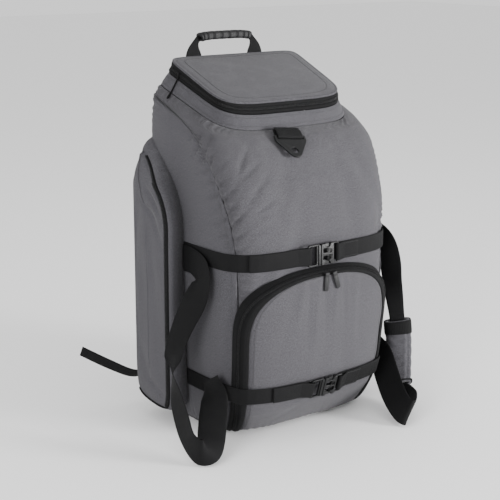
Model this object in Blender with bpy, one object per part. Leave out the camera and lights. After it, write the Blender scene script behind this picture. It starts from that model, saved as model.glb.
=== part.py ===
"""A sports backpack standing upright, with side pockets, compression straps and carry handles.

The front faces -Y and the left side -X. The origin is the middle of the flat bottom.
"""
import math

import bmesh
import bpy
from mathutils import Vector

# Cloth, webbing and clearances, in metres
WALL = 0.002
SEAM_GAP = 0.0003
SEAM_PULL = 0.0003
SEAT_GAP = 0.0008
WEBBING = 0.0015
STRAP_WIDTH = 0.025
HANDLE_WIDTH = 0.040
BASE_WALL = 0.003

# Body
BODY_HEIGHT = 0.532
HALF_WIDTH = 0.148
FRONT_REACH = 0.138
BACK_REACH = 0.090
LID_DOME = 0.004

# Front compartment
FLAP_RISE = 0.016
FLAP_PUFF = 0.007
FLAP_TOP = 0.250
FLAP_ARCH_START = 0.150
FLAP_HALF_TURN = math.radians(48.5)
FLAP_MIDDLE = math.radians(267.5)
GUSSET_SPREAD = math.radians(8.0)
GUSSET_DROP = 0.010
GUSSET_WALL = 0.0025
PULL_LENGTH = 0.024
PULL_WIDTH = 0.008
PULL_THICK = 0.0025
PULL_HEIGHT = FLAP_TOP - GUSSET_DROP
PULL_PLACES = (-0.010, 0.006)

# Side pockets
POCKET_DEPTH = 0.034
POCKET_ROUND = 0.006
POCKET_LEAN = 0.014
POCKET_LENGTH = 0.086
POCKET_HEIGHT = 0.396
POCKET_LOW = 0.026
POCKET_ZIP_WIDTH = 0.007
TAPE_THICK = 0.0012
ZIP_SEAT = 0.0008

# Compression straps and their buckles
UPPER_STRAP_HEIGHT = 0.266
LOWER_STRAP_HEIGHT = 0.075
UPPER_BUCKLE_PLACE = -0.005
LOWER_BUCKLE_PLACE = -0.005
UPPER_TAIL = 0.078
LOWER_TAIL = 0.046
SEWN_TAIL = 0.026
BUCKLE_LENGTH = 0.056
BUCKLE_HEIGHT = 0.031
BUCKLE_THICK = 0.008
BUCKLE_BAR = 0.0024
LADDER_SHARE = 0.40
LADDER_THICK = 0.0034
LADDER_SLOT = 0.009
COLLAR_LENGTH = 0.004
NOTCH_DEPTH = 0.004
STRAP_START = 0.004
CORNER_SLACK = 0.0014
BAR_LEAD = 0.016

# Carry handles
HANDLE_TOP = 0.257
HANDLE_SWING = 0.080
LEAST_STEP = 0.0008
GRIP_WIDTH = 0.037
GRIP_THICK = 0.015
GRIP_WALL = 0.0046
BINDING_WALL = 0.0015

# Front ring on its tab
RING_PLACE = -0.027
RING_HEIGHT_SHARE = 0.900
TAB_WIDTH = 0.038
TAB_LENGTH = 0.014
RING_WIDTH = 0.048
RING_DROP = 0.037
RING_HOLE = 0.0062
RING_THICK = 0.0035
RING_BAR = 0.003

# Top handle
TOP_HANDLE_PLACE = -0.014
TOP_HANDLE_SPAN = 0.106
TOP_HANDLE_RISE = 0.063
TOP_HANDLE_SET = 0.032
TOP_HANDLE_ROOT = BODY_HEIGHT - TOP_HANDLE_SET
TOP_HANDLE_WIDTH = 0.024
GRIP_LENGTH = 0.092
GRIP_TALL = 0.012
GRIP_DEEP = 0.016
GRIP_RIB = 0.0009
GRIP_RIBS = 9

# Cord puller of the lid's zip
PULLER_RADIUS = 0.0016
PULLER_TURN = 152.0

# Back pad and shoulder straps
PAD_THICK = 0.012
BACK_PAD_THICK = 0.006
BACK_PAD_WIDTH = 0.216
BACK_PAD_LOW = 0.070
BACK_PAD_HIGH = 0.470
SHOULDER_WIDTH = 0.060
SHOULDER_TOP = 0.462
SHOULDER_STANDOFF = 0.050
LOW_WEBBING = 0.020
ADJUSTER_WIDTH = 0.030
ADJUSTER_TOP = 0.2075
ADJUSTER_LENGTH = 0.021
ADJUSTER_BAR = 0.005

BODY_ROW = ("front", "back", "width", "nose", "spine", "square", "taper")
BODY_ROWS = (
    (0.000, 0.000, 0.885, 0.593, 0.900, 4.2, 0.00),
    (0.025, 0.025, 0.930, 0.740, 0.960, 4.2, 0.00),
    (0.070, 0.070, 0.950, 0.830, 0.990, 4.2, 0.00),
    (0.120, 0.120, 0.965, 0.880, 1.000, 4.2, 0.00),
    (0.250, 0.250, 0.985, 0.940, 1.000, 4.3, 0.00),
    (0.450, 0.450, 1.000, 0.990, 1.000, 4.5, 0.00),
    (0.600, 0.600, 1.005, 0.966, 1.000, 4.5, 0.00),
    (0.690, 0.720, 1.010, 0.882, 1.000, 4.4, 0.00),
    (0.760, 0.830, 1.015, 0.760, 1.000, 4.2, 0.00),
    (0.810, 0.905, 0.990, 0.610, 1.000, 4.0, 0.06),
    (0.829, 0.940, 0.915, 0.500, 0.990, 4.2, 0.12),
    (0.868, 0.972, 0.825, 0.430, 0.960, 4.4, 0.08),
    (0.896, 1.000, 0.785, 0.393, 0.930, 4.8, 0.04),
)
SQUARE_BACK = 13.0
COLLAR_ROW = 0.940
ZIP_ROW = 0.972
LID_ROW = 1.000
BACK_SEAM = 135.0

SEAM_ROW = ("height", "turn")
SIDE_SEAM = (
    (0.000, 223.0), (0.250, 222.0), (0.500, 220.5), (0.600, 217.5), (0.690, 213.5),
    (0.780, 209.0), (0.840, 204.0), (0.875, 193.0), (0.895, 174.0), (0.907, 151.0),
    (0.912, 139.0),
)
SHARED_HEIGHTS = (0.0, 0.025, 0.07, 0.12, 0.20, 0.30, 0.40, 0.50, 0.58, 0.65, 0.72, 0.78,
                  0.83, 0.86, 0.88, 0.895, 0.905, 0.912)

POCKET_POINT = ("back", "up")
POCKET_OUTLINE = (
    (0.96, 0.010), (0.50, 0.000), (0.12, 0.004), (0.010, 0.045), (0.000, 0.160), (0.000, 0.320),
    (0.000, 0.480), (0.000, 0.620), (0.010, 0.730), (0.160, 0.832), (0.430, 0.914), (0.700, 0.972),
    (0.900, 1.000), (0.985, 0.975), (1.000, 0.850), (1.000, 0.650), (1.000, 0.450), (1.000, 0.250),
    (1.000, 0.060),
)

HANDLE_ROW = ("swing", "fore", "up", "across_out", "across_back", "across_up", "wide")
HANDLE_LEFT = (
    (0.058, 0.04, 1.000, 0.0, 0.0, 1.0, 1.0),
    (0.062, 0.20, 1.000, 0.0, 0.0, 1.0, 1.0),
    (0.100, 0.40, 0.965, 0.0, -0.7, 0.7, 1.1),
    (0.180, 0.45, 0.890, -0.1, -1.0, 0.0, 1.0),
    (0.310, 0.43, 0.790, -0.6, -0.8, 0.0, 1.0),
    (0.500, 0.39, 0.660, -0.8, -0.6, 0.0, 1.0),
    (0.640, 0.36, 0.530, -0.8, -0.6, 0.0, 1.0),
    (0.780, 0.44, 0.434, -0.6, 0.8, 0.0, 0.9),
    (0.880, 0.59, 0.324, -0.1, 1.0, 0.0, 1.0),
    (0.950, 0.76, 0.215, 0.0, 0.9, -0.4, 1.0),
    (1.000, 0.93, 0.130, 0.0, 0.6, -0.8, 1.0),
    (0.950, 1.08, 0.088, 0.0, 0.2, -1.0, 1.0),
    (0.780, 1.10, 0.096, -0.5, -0.3, -0.7, 1.0),
    (0.580, 0.97, 0.130, -0.8, -0.5, -0.2, 1.0),
    (0.380, 0.83, 0.190, -0.8, -0.6, 0.0, 1.0),
    (0.190, 0.70, 0.255, -0.5, -0.8, 0.0, 1.0),
    (0.090, 0.60, 0.310, -0.1, -1.0, 0.0, 1.0),
    (0.075, 0.54, 0.360, 0.0, -1.0, 0.0, 1.0),
)
HANDLE_RIGHT = (
    (0.070, 0.04, 1.000, 0.0, 0.0, 1.0, 1.0),
    (0.072, 0.25, 1.010, 0.0, 0.0, 1.0, 1.0),
    (0.080, 0.50, 1.030, 0.1, -0.1, 1.0, 1.0),
    (0.110, 0.69, 0.985, 0.3, -0.8, 0.5, 1.0),
    (0.160, 0.76, 0.880, 0.4, -0.9, 0.0, 1.0),
    (0.230, 0.77, 0.760, 0.5, -0.9, 0.0, 0.9),
    (0.330, 0.76, 0.630, 0.7, -0.7, 0.0, 0.75),
    (0.420, 0.74, 0.520, 0.8, -0.6, 0.0, 0.6),
    (0.470, 0.74, 0.420, 0.8, -0.6, 0.0, 0.6),
    (0.470, 0.76, 0.320, 0.8, -0.6, 0.0, 0.6),
    (0.455, 0.775, 0.205, 0.8, -0.6, 0.0, 0.6),
    (0.435, 0.80, 0.100, 0.8, -0.6, 0.0, 0.6),
    (0.290, 0.98, 0.072, 0.7, 0.0, 0.6, 0.75),
    (-0.080, 1.32, 0.080, 0.5, 0.0, 0.9, 1.0),
    (-0.450, 1.52, 0.084, 0.5, -0.1, 0.9, 1.0),
    (-0.520, 1.44, 0.100, 0.5, -0.2, 0.9, 1.0),
    (-0.370, 1.20, 0.150, 0.6, -0.4, 0.7, 1.0),
    (-0.110, 0.91, 0.225, 0.5, -0.6, 0.5, 1.0),
    (0.090, 0.68, 0.300, 0.1, -1.0, 0.2, 1.0),
    (0.090, 0.54, 0.370, 0.0, -1.0, 0.0, 1.0),
)
BEND_STEP = math.pi / 5
GRIP_FROM = 0.386
GRIP_TO = 0.590
HANDLE_SAMPLES = 44

SHOULDER_ROW = ("out", "away", "up", "wide")
SHOULDER_ROWS = (
    (0.300, 0.00, 1.000, 0.80), (0.310, 0.10, 0.950, 0.95), (0.360, 0.45, 0.860, 1.00),
    (0.450, 0.75, 0.740, 1.00), (0.550, 0.80, 0.620, 0.95), (0.620, 0.60, 0.510, 0.80),
    (0.650, 0.45, 0.455, 0.60),
)
LOW_ROW = ("out", "away", "up")
LOW_ROWS = (
    (0.655, 0.40, 0.440), (0.662, 0.39, 0.410), (0.680, 0.35, 0.370), (0.730, 0.24, 0.270),
    (0.780, 0.05, 0.175),
    (0.800, -0.12, 0.125),
)
TAIL_ROW = ("out", "away", "up", "across_out", "across_away", "across_up")
TAIL_ROWS = (
    (0.662, 0.66, 0.440, 1.0, 0.0, 0.1), (0.668, 0.66, 0.400, 1.0, 0.1, 0.1),
    (0.710, 0.65, 0.320, 1.0, 0.2, 0.2), (0.850, 0.38, 0.190, 0.7, -0.3, 0.7),
    (1.000, 0.14, 0.121, 0.4, -0.7, 0.9), (1.160, 0.12, 0.112, 0.1, -0.7, 0.9),
    (1.400, 0.36, 0.152, 0.0, -0.6, 1.0), (1.670, 0.64, 0.207, 0.0, -0.6, 1.0),
)

GREY_CLOTH = (0.165, 0.162, 0.180, 1.0)
FRONT_CLOTH = (0.195, 0.192, 0.208, 1.0)
BLACK_WEBBING = (0.018, 0.018, 0.019, 1.0)
BLACK_TAPE = (0.022, 0.022, 0.022, 1.0)
DARK_PLASTIC = (0.062, 0.064, 0.067, 1.0)


# Starting from an empty scene

def clear_scene():
    for item in list(bpy.data.objects):
        bpy.data.objects.remove(item, do_unlink=True)


clear_scene()
COLLECTION = bpy.data.collections.new("sports_backpack")
bpy.context.scene.collection.children.link(COLLECTION)


def material(name, colour, roughness):
    """A plain Principled material, made once for each name."""
    made = bpy.data.materials.get(name)
    if made is None:
        made = bpy.data.materials.new(name)
        made.use_nodes = True
        shader = made.node_tree.nodes["Principled BSDF"]
        shader.inputs["Base Color"].default_value = colour
        shader.inputs["Roughness"].default_value = roughness
    return made


def add_mesh(name, points, faces, look):
    """A named object from points and faces, with its faces turned outward."""
    mesh = bpy.data.meshes.new(name)
    mesh.from_pydata([tuple(p) for p in points], [], faces)
    work = bmesh.new()
    work.from_mesh(mesh)
    bmesh.ops.recalc_face_normals(work, faces=work.faces)
    if work.calc_volume(signed=True) < 0:
        bmesh.ops.reverse_faces(work, faces=work.faces)
    work.to_mesh(mesh)
    work.free()
    mesh.shade_smooth()
    mesh.set_sharp_from_angle(angle=math.radians(35))
    mesh.materials.append(look)
    made = bpy.data.objects.new(name, mesh)
    COLLECTION.objects.link(made)
    return made


# Smooth curves through short tables

def smooth_value(keys, values, at):
    """A value between table rows, on a curve that never swings past them."""
    last = len(keys) - 1
    at = min(max(at, keys[0]), keys[last])
    k = max(i for i in range(last) if keys[i] <= at)
    slopes = [(values[i + 1] - values[i]) / (keys[i + 1] - keys[i]) for i in range(last)]

    def tangent(i):
        if i == 0 or i == last:
            return slopes[min(i, last - 1)]
        before, after = slopes[i - 1], slopes[i]
        if before * after <= 0:
            return 0.0
        return 2 * before * after / (before + after)

    width = keys[k + 1] - keys[k]
    t = (at - keys[k]) / width
    return ((2 * t**3 - 3 * t**2 + 1) * values[k] + (t**3 - 2 * t**2 + t) * width * tangent(k)
            + (3 * t**2 - 2 * t**3) * values[k + 1] + (t**3 - t**2) * width * tangent(k + 1))


def smooth_route(rows, samples, closed=False):
    """Evenly numbered samples of a Catmull-Rom curve through rows of any width."""
    count = len(rows)
    spans = count if closed else count - 1
    made = []
    steps = samples if closed else samples + 1
    for n in range(steps):
        at = n * spans / samples
        k = min(int(at), spans - 1)
        t = at - k
        picks = []
        for j in (k - 1, k, k + 1, k + 2):
            picks.append(rows[j % count] if closed else rows[min(max(j, 0), count - 1)])
        made.append([0.5 * (2 * b + (c - a) * t + (2 * a - 5 * b + 4 * c - d) * t**2
                            + (3 * b - a - 3 * c + d) * t**3)
                     for a, b, c, d in zip(*picks)])
    return made


# The body's skin

ROW_KEYS = [row[1] for row in BODY_ROWS]
ROW_COLUMNS = {name: [row[i] for row in BODY_ROWS] for i, name in enumerate(BODY_ROW)}


def row_value(name, height):
    return smooth_value(ROW_KEYS, ROW_COLUMNS[name], height)


def section(height):
    """Half width, middle, half depth, squareness and the two heights of one section."""
    nose = -row_value("nose", height) * FRONT_REACH
    spine = row_value("spine", height) * BACK_REACH
    rise = BODY_HEIGHT - BASE_WALL - SEAM_GAP
    foot = BASE_WALL + SEAM_GAP
    return (row_value("width", height) * HALF_WIDTH, (nose + spine) / 2, (spine - nose) / 2,
            row_value("square", height), foot + rise * row_value("front", height),
            foot + rise * row_value("back", height))


def rounded_square(turn, square):
    """A point of a unit superellipse, squarer on its back half."""
    side, fore = math.cos(turn), math.sin(turn)
    power = SQUARE_BACK if fore > 0 else square
    reach = (abs(side)**power + abs(fore)**power)**(1 / power)
    return side / reach, fore / reach


def skin(turn, height):
    """The point of the body's skin at a turn in radians and a height share."""
    half, middle, deep, square, front, back = section(height)
    side, fore = rounded_square(turn, square)
    half *= 1 - row_value("taper", height) * (1 - fore) / 2
    level = front + (back - front) * (fore + 1) / 2
    return Vector((half * side, middle + deep * fore, level))


def skin_normal(turn, height):
    step = 0.004
    low, high = max(height - step, 0.0), min(height + step, 1.0)
    around = skin(turn + step, height) - skin(turn - step, height)
    upward = skin(turn, high) - skin(turn, low)
    return around.cross(upward).normalized()


def lifted(turn, height, lift):
    return skin(turn, height) + skin_normal(turn, height) * lift


# Closed cloth walls from grids of points

def seam_pull(grid, other, amount, sides):
    """Draws the named borders of two matching grids in by half a seam gap."""
    rows, columns = len(grid), len(grid[0])
    moves = [[Vector() for _ in range(columns)] for _ in range(rows)]
    for i in range(rows):
        for j in range(columns):
            along = grid[min(i + 1, rows - 1)][j] - grid[max(i - 1, 0)][j]
            across = grid[i][min(j + 1, columns - 1)] - grid[i][max(j - 1, 0)]
            facing = along.cross(across)
            if "first_row" in sides and i == 0 or "last_row" in sides and i == rows - 1:
                inward = across.cross(facing).normalized()
                toward = grid[1][j] - grid[0][j] if i == 0 else grid[i - 1][j] - grid[i][j]
                moves[i][j] += inward * math.copysign(amount, inward.dot(toward))
            if "first_column" in sides and j == 0 or "last_column" in sides and j == columns - 1:
                inward = along.cross(facing).normalized()
                toward = grid[i][1] - grid[i][0] if j == 0 else grid[i][j - 1] - grid[i][j]
                moves[i][j] += inward * math.copysign(amount, inward.dot(toward))
    for i in range(rows):
        for j in range(columns):
            grid[i][j] = grid[i][j] + moves[i][j]
            other[i][j] = other[i][j] + moves[i][j]


def wall_solid(name, outer, inner, look, closed=False):
    """A closed solid between two matching grids, closed around its columns if asked.

    Both grids split their quads on the same diagonal, so a twisted wall keeps its thickness.
    """
    rows, columns = len(outer), len(outer[0])
    points = [p for row in outer for p in row] + [p for row in inner for p in row]
    base = rows * columns
    faces = []
    spans = columns if closed else columns - 1
    for i in range(rows - 1):
        for j in range(spans):
            k = (j + 1) % columns
            a, b, c, d = i * columns + j, i * columns + k, (i + 1) * columns + k, (i + 1) * columns + j
            for corners in ((a, b, c), (a, c, d)):
                faces.append(corners)
                faces.append(tuple(base + n for n in reversed(corners)))
    for j in range(spans):
        k = (j + 1) % columns
        faces.append((j, base + j, base + k, k))
        top = (rows - 1) * columns
        faces.append((top + k, base + top + k, base + top + j, top + j))
    if not closed:
        for i in range(rows - 1):
            for j in (0, columns - 1):
                a, b = i * columns + j, (i + 1) * columns + j
                faces.append((a, b, base + b, base + a) if j == 0 else (b, a, base + a, base + b))
    return add_mesh(name, points, faces, look)


def skin_panel(name, heights, edges, columns, look, sides, top_lift=0.0):
    """A panel of the skin between two turning edges, given in degrees for each height."""
    outer, inner = [], []
    for height in heights:
        start, end = edges(height)
        turns = [math.radians(start + (end - start) * j / columns) for j in range(columns + 1)]
        outer.append([lifted(turn, height, top_lift) for turn in turns])
        inner.append([lifted(turn, height, top_lift - WALL) for turn in turns])
    seam_pull(outer, inner, SEAM_PULL, sides)
    return wall_solid(name, outer, inner, look)


def seam_turn(height):
    """The turn of the left side seam, which runs into the back seam near the top."""
    if height > SIDE_SEAM[-1][0]:
        return BACK_SEAM
    return smooth_value([row[0] for row in SIDE_SEAM], [row[1] for row in SIDE_SEAM], height)


ALL_SIDES = ("first_row", "last_row", "first_column", "last_column")
FULL_TURN = 360.0


def mirror_turn(turn):
    """The same place on the other side of the bag, going round by the front."""
    return 540.0 - turn


def build_body():
    cloth = material("grey_cloth", GREY_CLOTH, 0.9)
    heights = SHARED_HEIGHTS + (0.926, COLLAR_ROW)
    skin_panel("front_panel", heights, lambda h: (seam_turn(h), mirror_turn(seam_turn(h))), 20,
               material("front_cloth", FRONT_CLOTH, 0.9), ALL_SIDES)
    skin_panel("side_panel_left", SHARED_HEIGHTS, lambda h: (BACK_SEAM, seam_turn(h)), 6,
               cloth, ALL_SIDES)
    skin_panel("side_panel_right", SHARED_HEIGHTS,
               lambda h: (mirror_turn(seam_turn(h)), mirror_turn(BACK_SEAM)), 6, cloth, ALL_SIDES)
    skin_panel("back_panel", SHARED_HEIGHTS + (0.926, COLLAR_ROW, ZIP_ROW, LID_ROW),
               lambda h: (mirror_turn(BACK_SEAM) - FULL_TURN, BACK_SEAM), 6, cloth, ALL_SIDES)
    ring = lambda h: (BACK_SEAM, mirror_turn(BACK_SEAM))
    skin_panel("collar_band", (COLLAR_ROW, ZIP_ROW), ring, 20, cloth, ALL_SIDES)
    skin_panel("lid_zip", (ZIP_ROW, LID_ROW), ring, 20, material("zip_tape", BLACK_TAPE, 0.6),
               ALL_SIDES)


def ring_turns(count):
    return [2 * math.pi * j / count for j in range(count)]


def build_bottom():
    """A flat slab inside the lowest section, whose under side is the resting face."""
    turns = ring_turns(32)
    edge = [skin(turn, 0.0) for turn in turns]
    points = [Vector((p.x, p.y, level)) for level in (BASE_WALL, 0.0) for p in edge]
    count = len(turns)
    faces = [tuple(range(count)), tuple(reversed(range(count, 2 * count)))]
    for j in range(count):
        k = (j + 1) % count
        faces.append((j, count + j, count + k, k))
    add_mesh("bottom_panel", points, faces, material("grey_cloth", GREY_CLOTH, 0.9))


def build_lid():
    """The lid's shallow dome, closed over the top of the zip and of the back panel."""
    turns = ring_turns(32)
    middle = sum((skin(turn, LID_ROW) for turn in turns), Vector()) / len(turns)
    edge = [skin(turn, LID_ROW) for turn in turns]
    slope = (edge[8] - edge[24]).normalized()
    facing = Vector((1, 0, 0)).cross(slope).normalized()
    shares = (1.0, 0.97, 0.7, 0.3)
    outer, inner = [], []
    for share in shares:
        dome = LID_DOME * (1 - share**2)
        lip = WALL + SEAM_GAP if share < 1.0 else WALL * 0.6 + SEAM_GAP
        outer.append([middle + (p - middle) * share + facing * (dome + lip) for p in edge])
        inner.append([middle + (p - middle) * share + facing * (dome * 0.9 + SEAM_GAP) for p in edge])
    count = len(turns)
    points = [p for row in outer for p in row] + [p for row in inner for p in row]
    base = count * len(shares)
    faces = []
    for i in range(len(shares) - 1):
        for j in range(count):
            k = (j + 1) % count
            a, b, c, d = i * count + j, i * count + k, (i + 1) * count + k, (i + 1) * count + j
            faces += [(a, b, c, d), (base + d, base + c, base + b, base + a)]
    for j in range(count):
        k = (j + 1) % count
        faces.append((j, base + j, base + k, k))
    last = (len(shares) - 1) * count
    faces += [tuple(range(last, last + count)), tuple(reversed(range(base + last, base + last + count)))]
    add_mesh("lid_panel", points, faces, material("grey_cloth", GREY_CLOTH, 0.9))


# The front compartment

ARCH_POWER = 3.0
INSETS = (0.0, 0.34, 0.67, 1.0)
LEG_HEIGHTS = (0.012, 0.025, 0.045, 0.070, 0.082, 0.095, 0.108, 0.120, 0.150, 0.190, 0.240)
ARCH_STEPS = (6, 16, 27, 38, 50, 62, 74, 83, 88.5)


def smooth_step(share):
    share = min(max(share, 0.0), 1.0)
    return share * share * (3 - 2 * share)


def flap_rise(level):
    """How far the front compartment stands out, fading toward its foot."""
    full = FLAP_RISE + GUSSET_WALL
    least = GUSSET_WALL + SEAT_GAP + WALL
    return least + (full - least) * smooth_step(level / (0.35 * FLAP_TOP))


def flap_lift(across, level):
    """The lift of the flap's outer face, with its padding fullest in the middle."""
    fade = (1 - across**2) * smooth_step(level / (0.5 * FLAP_TOP))
    return flap_rise(level) + FLAP_PUFF * fade * smooth_step(1.6 * (FLAP_TOP - level) / FLAP_TOP)


def gusset_lift(inset, level):
    """The lift of the gusset's outer face, bowed like a tape that is pulled taut."""
    least = GUSSET_WALL + SEAT_GAP
    return least + (flap_rise(level) - least) * math.sin(inset * math.pi / 2)


def arch_rows(inset):
    """Turn and level along the arch, from the foot up to its crown, at an inset share."""
    half = FLAP_HALF_TURN - GUSSET_SPREAD * inset
    crown = FLAP_TOP - GUSSET_DROP * inset
    made = []
    for height in LEG_HEIGHTS:
        made.append((half, skin(FRONT_TURN, height).z))
    for degrees in ARCH_STEPS:
        side, up = math.cos(math.radians(degrees)), math.sin(math.radians(degrees))
        reach = (side**ARCH_POWER + up**ARCH_POWER)**(1 / ARCH_POWER)
        made.append((half * side / reach, FLAP_ARCH_START + (crown - FLAP_ARCH_START) * up / reach))
    return made


def share_of(level):
    """The height share of a level below the part where the sections tilt."""
    return (level - BASE_WALL - SEAM_GAP) / (BODY_HEIGHT - BASE_WALL - SEAM_GAP)


FRONT_TURN = 1.5 * math.pi


def build_front_compartment():
    cloth = material("front_cloth", FRONT_CLOTH, 0.9)
    tape = material("zip_tape", BLACK_TAPE, 0.6)
    left = [arch_rows(inset) for inset in INSETS]
    outer, inner = [], []
    for side in (-1, 1):
        order = range(len(left[0])) if side < 0 else reversed(range(len(left[0])))
        for n in order:
            row_out, row_in = [], []
            for inset, rows in zip(INSETS, left):
                turn, level = rows[n]
                lift = gusset_lift(inset, level)
                row_out.append(lifted(FLAP_MIDDLE + side * turn, share_of(level), lift))
                row_in.append(lifted(FLAP_MIDDLE + side * turn, share_of(level), lift - GUSSET_WALL))
            outer.append(row_out)
            inner.append(row_in)
    seam_pull(outer, inner, SEAM_PULL, ("last_column",))
    wall_solid("flap_gusset", outer, inner, tape)

    columns = 10
    outer, inner = [], []
    for turn, level in arch_rows(1.0):
        row_out, row_in = [], []
        for j in range(columns + 1):
            across = 2 * j / columns - 1
            place, lift = FLAP_MIDDLE + across * turn, flap_lift(across, level)
            row_out.append(lifted(place, share_of(level), lift))
            row_in.append(lifted(place, share_of(level), lift - WALL))
        outer.append(row_out)
        inner.append(row_in)
    seam_pull(outer, inner, SEAM_PULL, ALL_SIDES)
    wall_solid("front_flap", outer, inner, cloth)


# Points of the sides at a real level

def height_at(turn, level):
    low, high = 0.0, 1.0
    for _ in range(40):
        middle = (low + high) / 2
        if skin(turn, middle).z < level:
            low = middle
        else:
            high = middle
    return (low + high) / 2


def side_reach(back, level):
    """How far the skin reaches to the side, at a depth and a level."""
    low, high = 0.0, 1.0
    for _ in range(40):
        middle = (low + high) / 2
        _, centre, deep, _, front, rear = section(middle)
        if front + (rear - front) * ((back - centre) / deep + 1) / 2 < level:
            low = middle
        else:
            high = middle
    half, centre, deep, square, _, _ = section((low + high) / 2)
    fore = min(max((back - centre) / deep, -0.999), 0.999)
    power = SQUARE_BACK if fore > 0 else square
    half *= 1 - row_value("taper", (low + high) / 2) * (1 - fore) / 2
    return half * (1 - abs(fore)**power)**(1 / power)


# The side pockets

POCKET_SAMPLES = 28


def pocket_loop(inset):
    """The pocket's outline as depth and level pairs, drawn in by an inset."""
    loop = smooth_route(POCKET_OUTLINE, POCKET_SAMPLES, closed=True)
    places = [(POCKET_LENGTH * back, POCKET_LOW + POCKET_HEIGHT * up) for back, up in loop]
    made = []
    for n, (back, level) in enumerate(places):
        before, after = places[n - 1], places[(n + 1) % len(places)]
        run = Vector((after[0] - before[0], after[1] - before[1]))
        inward = Vector((run.y, -run.x)).normalized() if run.length else Vector((0, 0))
        made.append((back + inward.x * inset, level + inward.y * inset))
    return made


def pocket_crown(level):
    """How far the pocket stands out at a level, sloping in toward its top."""
    top = POCKET_LOW + POCKET_HEIGHT
    return POCKET_DEPTH * (0.35 + 0.65 * smooth_step((top - level) / 0.055))


def pocket_ring(sign, inset, share, wall):
    """One ring of a pocket: its inset, its share of the way out, and the wall taken off."""
    ring = []
    for back, level in pocket_loop(inset + wall):
        foot = side_reach(min(back, BACK_REACH * 0.9), level) + SEAT_GAP
        face = HALF_WIDTH + pocket_crown(level) - wall
        lean = POCKET_LEAN * math.sin(share * math.pi / 2) * (1 - back / POCKET_LENGTH)
        ring.append(Vector((sign * (foot + (max(face, foot) - foot) * share), back - lean, level)))
    return ring


def build_pocket(name, sign):
    round_in = POCKET_ROUND
    steps = ((0.0, 0.0), (0.0, 0.80), (round_in * 0.35, 0.95), (round_in, 1.0))
    outer = [pocket_ring(sign, inset, share, 0.0) for inset, share in steps]
    inner = [pocket_ring(sign, inset, share, WALL) for inset, share in steps]
    for rings, wall in ((outer, 0.0), (inner, WALL)):
        edge = rings[-1]
        low, high = POCKET_LOW + 0.10 * POCKET_HEIGHT, POCKET_LOW + 0.72 * POCKET_HEIGHT
        for share in (0.45, 0.85):
            ring = []
            for p in edge:
                spine = Vector((p.x, POCKET_LENGTH * 0.5, min(max(p.z, low), high)))
                moved = p.lerp(spine, share)
                moved.x = sign * (HALF_WIDTH + pocket_crown(moved.z) - wall)
                ring.append(moved)
            rings.append(ring)
    count, depth = len(outer[0]), len(outer)
    points = [p for ring in outer for p in ring] + [p for ring in inner for p in ring]
    base = count * depth
    faces = []
    for i in range(depth - 1):
        for j in range(count):
            k = (j + 1) % count
            a, b, c, d = i * count + j, i * count + k, (i + 1) * count + k, (i + 1) * count + j
            faces += [(a, b, c, d), (base + d, base + c, base + b, base + a)]
    for j in range(count):
        k = (j + 1) % count
        faces.append((j, base + j, base + k, k))
    last = (depth - 1) * count
    faces += [tuple(range(last, last + count)), tuple(reversed(range(base + last, base + last + count)))]
    add_mesh(name, points, faces, material("grey_cloth", GREY_CLOTH, 0.9))


def build_pocket_zip(name, sign):
    """The zip tape that runs up the pocket's front edge and over its shoulder."""
    first, last = 3, 17
    rows = []
    for inset in (POCKET_ROUND, POCKET_ROUND + POCKET_ZIP_WIDTH):
        row = []
        for back, level in pocket_loop(inset)[first:last]:
            lean = POCKET_LEAN * (1 - back / POCKET_LENGTH)
            row.append(Vector((sign * (HALF_WIDTH + pocket_crown(level) + ZIP_SEAT), back - lean, level)))
        rows.append(row)
    out = Vector((sign * TAPE_THICK, 0, 0))
    raised = [[p + out for p in row] for row in rows]
    wall_solid(name, raised, rows, material("zip_tape", BLACK_TAPE, 0.6))


# Webbing

def ribbon(name, rows, thickness, look):
    """Webbing along rows of points that run across it, half its thickness to each side."""
    count = len(rows)
    outer, inner = [], []
    for i, row in enumerate(rows):
        before, after = rows[max(i - 1, 0)], rows[min(i + 1, count - 1)]
        over, under = [], []
        for j, p in enumerate(row):
            along = after[j] - before[j]
            across = row[-1] - row[0]
            facing = along.cross(across).normalized() * (thickness / 2)
            over.append(p + facing)
            under.append(p - facing)
        outer.append(over)
        inner.append(under)
    return wall_solid(name, outer, inner, look)


def hull(points):
    """The convex outline of flat points, counter-clockwise."""
    points = sorted(set(points))

    def half(items):
        chain = []
        for p in items:
            while len(chain) > 1:
                a, b = chain[-2], chain[-1]
                if (b[0] - a[0]) * (p[1] - a[1]) - (b[1] - a[1]) * (p[0] - a[0]) > 0:
                    break
                chain.pop()
            chain.append(p)
        return chain[:-1]

    return half(points) + half(points[::-1])


TAUT_STEPS = 120


def at_real_level(turn, level, lift_at):
    """The lifted skin point whose own height is the level, though its lift may tip it."""
    source = level
    for _ in range(5):
        point = lifted(turn, share_of(source), lift_at(source))
        source += level - point.z
    return point


def taut_outline(level, over_flap):
    """The line that a taut strap takes round the body at one level."""
    found = []
    for n in range(TAUT_STEPS):
        turn = 2 * math.pi * n / TAUT_STEPS
        found.append(skin(turn, height_at(turn, level)))
    if over_flap:
        half = FLAP_HALF_TURN - GUSSET_SPREAD
        for n in range(25):
            across = n / 12 - 1
            found.append(at_real_level(FLAP_MIDDLE + across * half, level,
                                       lambda source: flap_lift(across, source)))
        for inset in INSETS:
            for side in (-1, 1):
                turn = FLAP_MIDDLE + side * (FLAP_HALF_TURN - GUSSET_SPREAD * inset)
                found.append(at_real_level(turn, level, lambda source: gusset_lift(inset, source)))
    return hull([(round(p.x, 6), round(p.y, 6)) for p in found])


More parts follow.
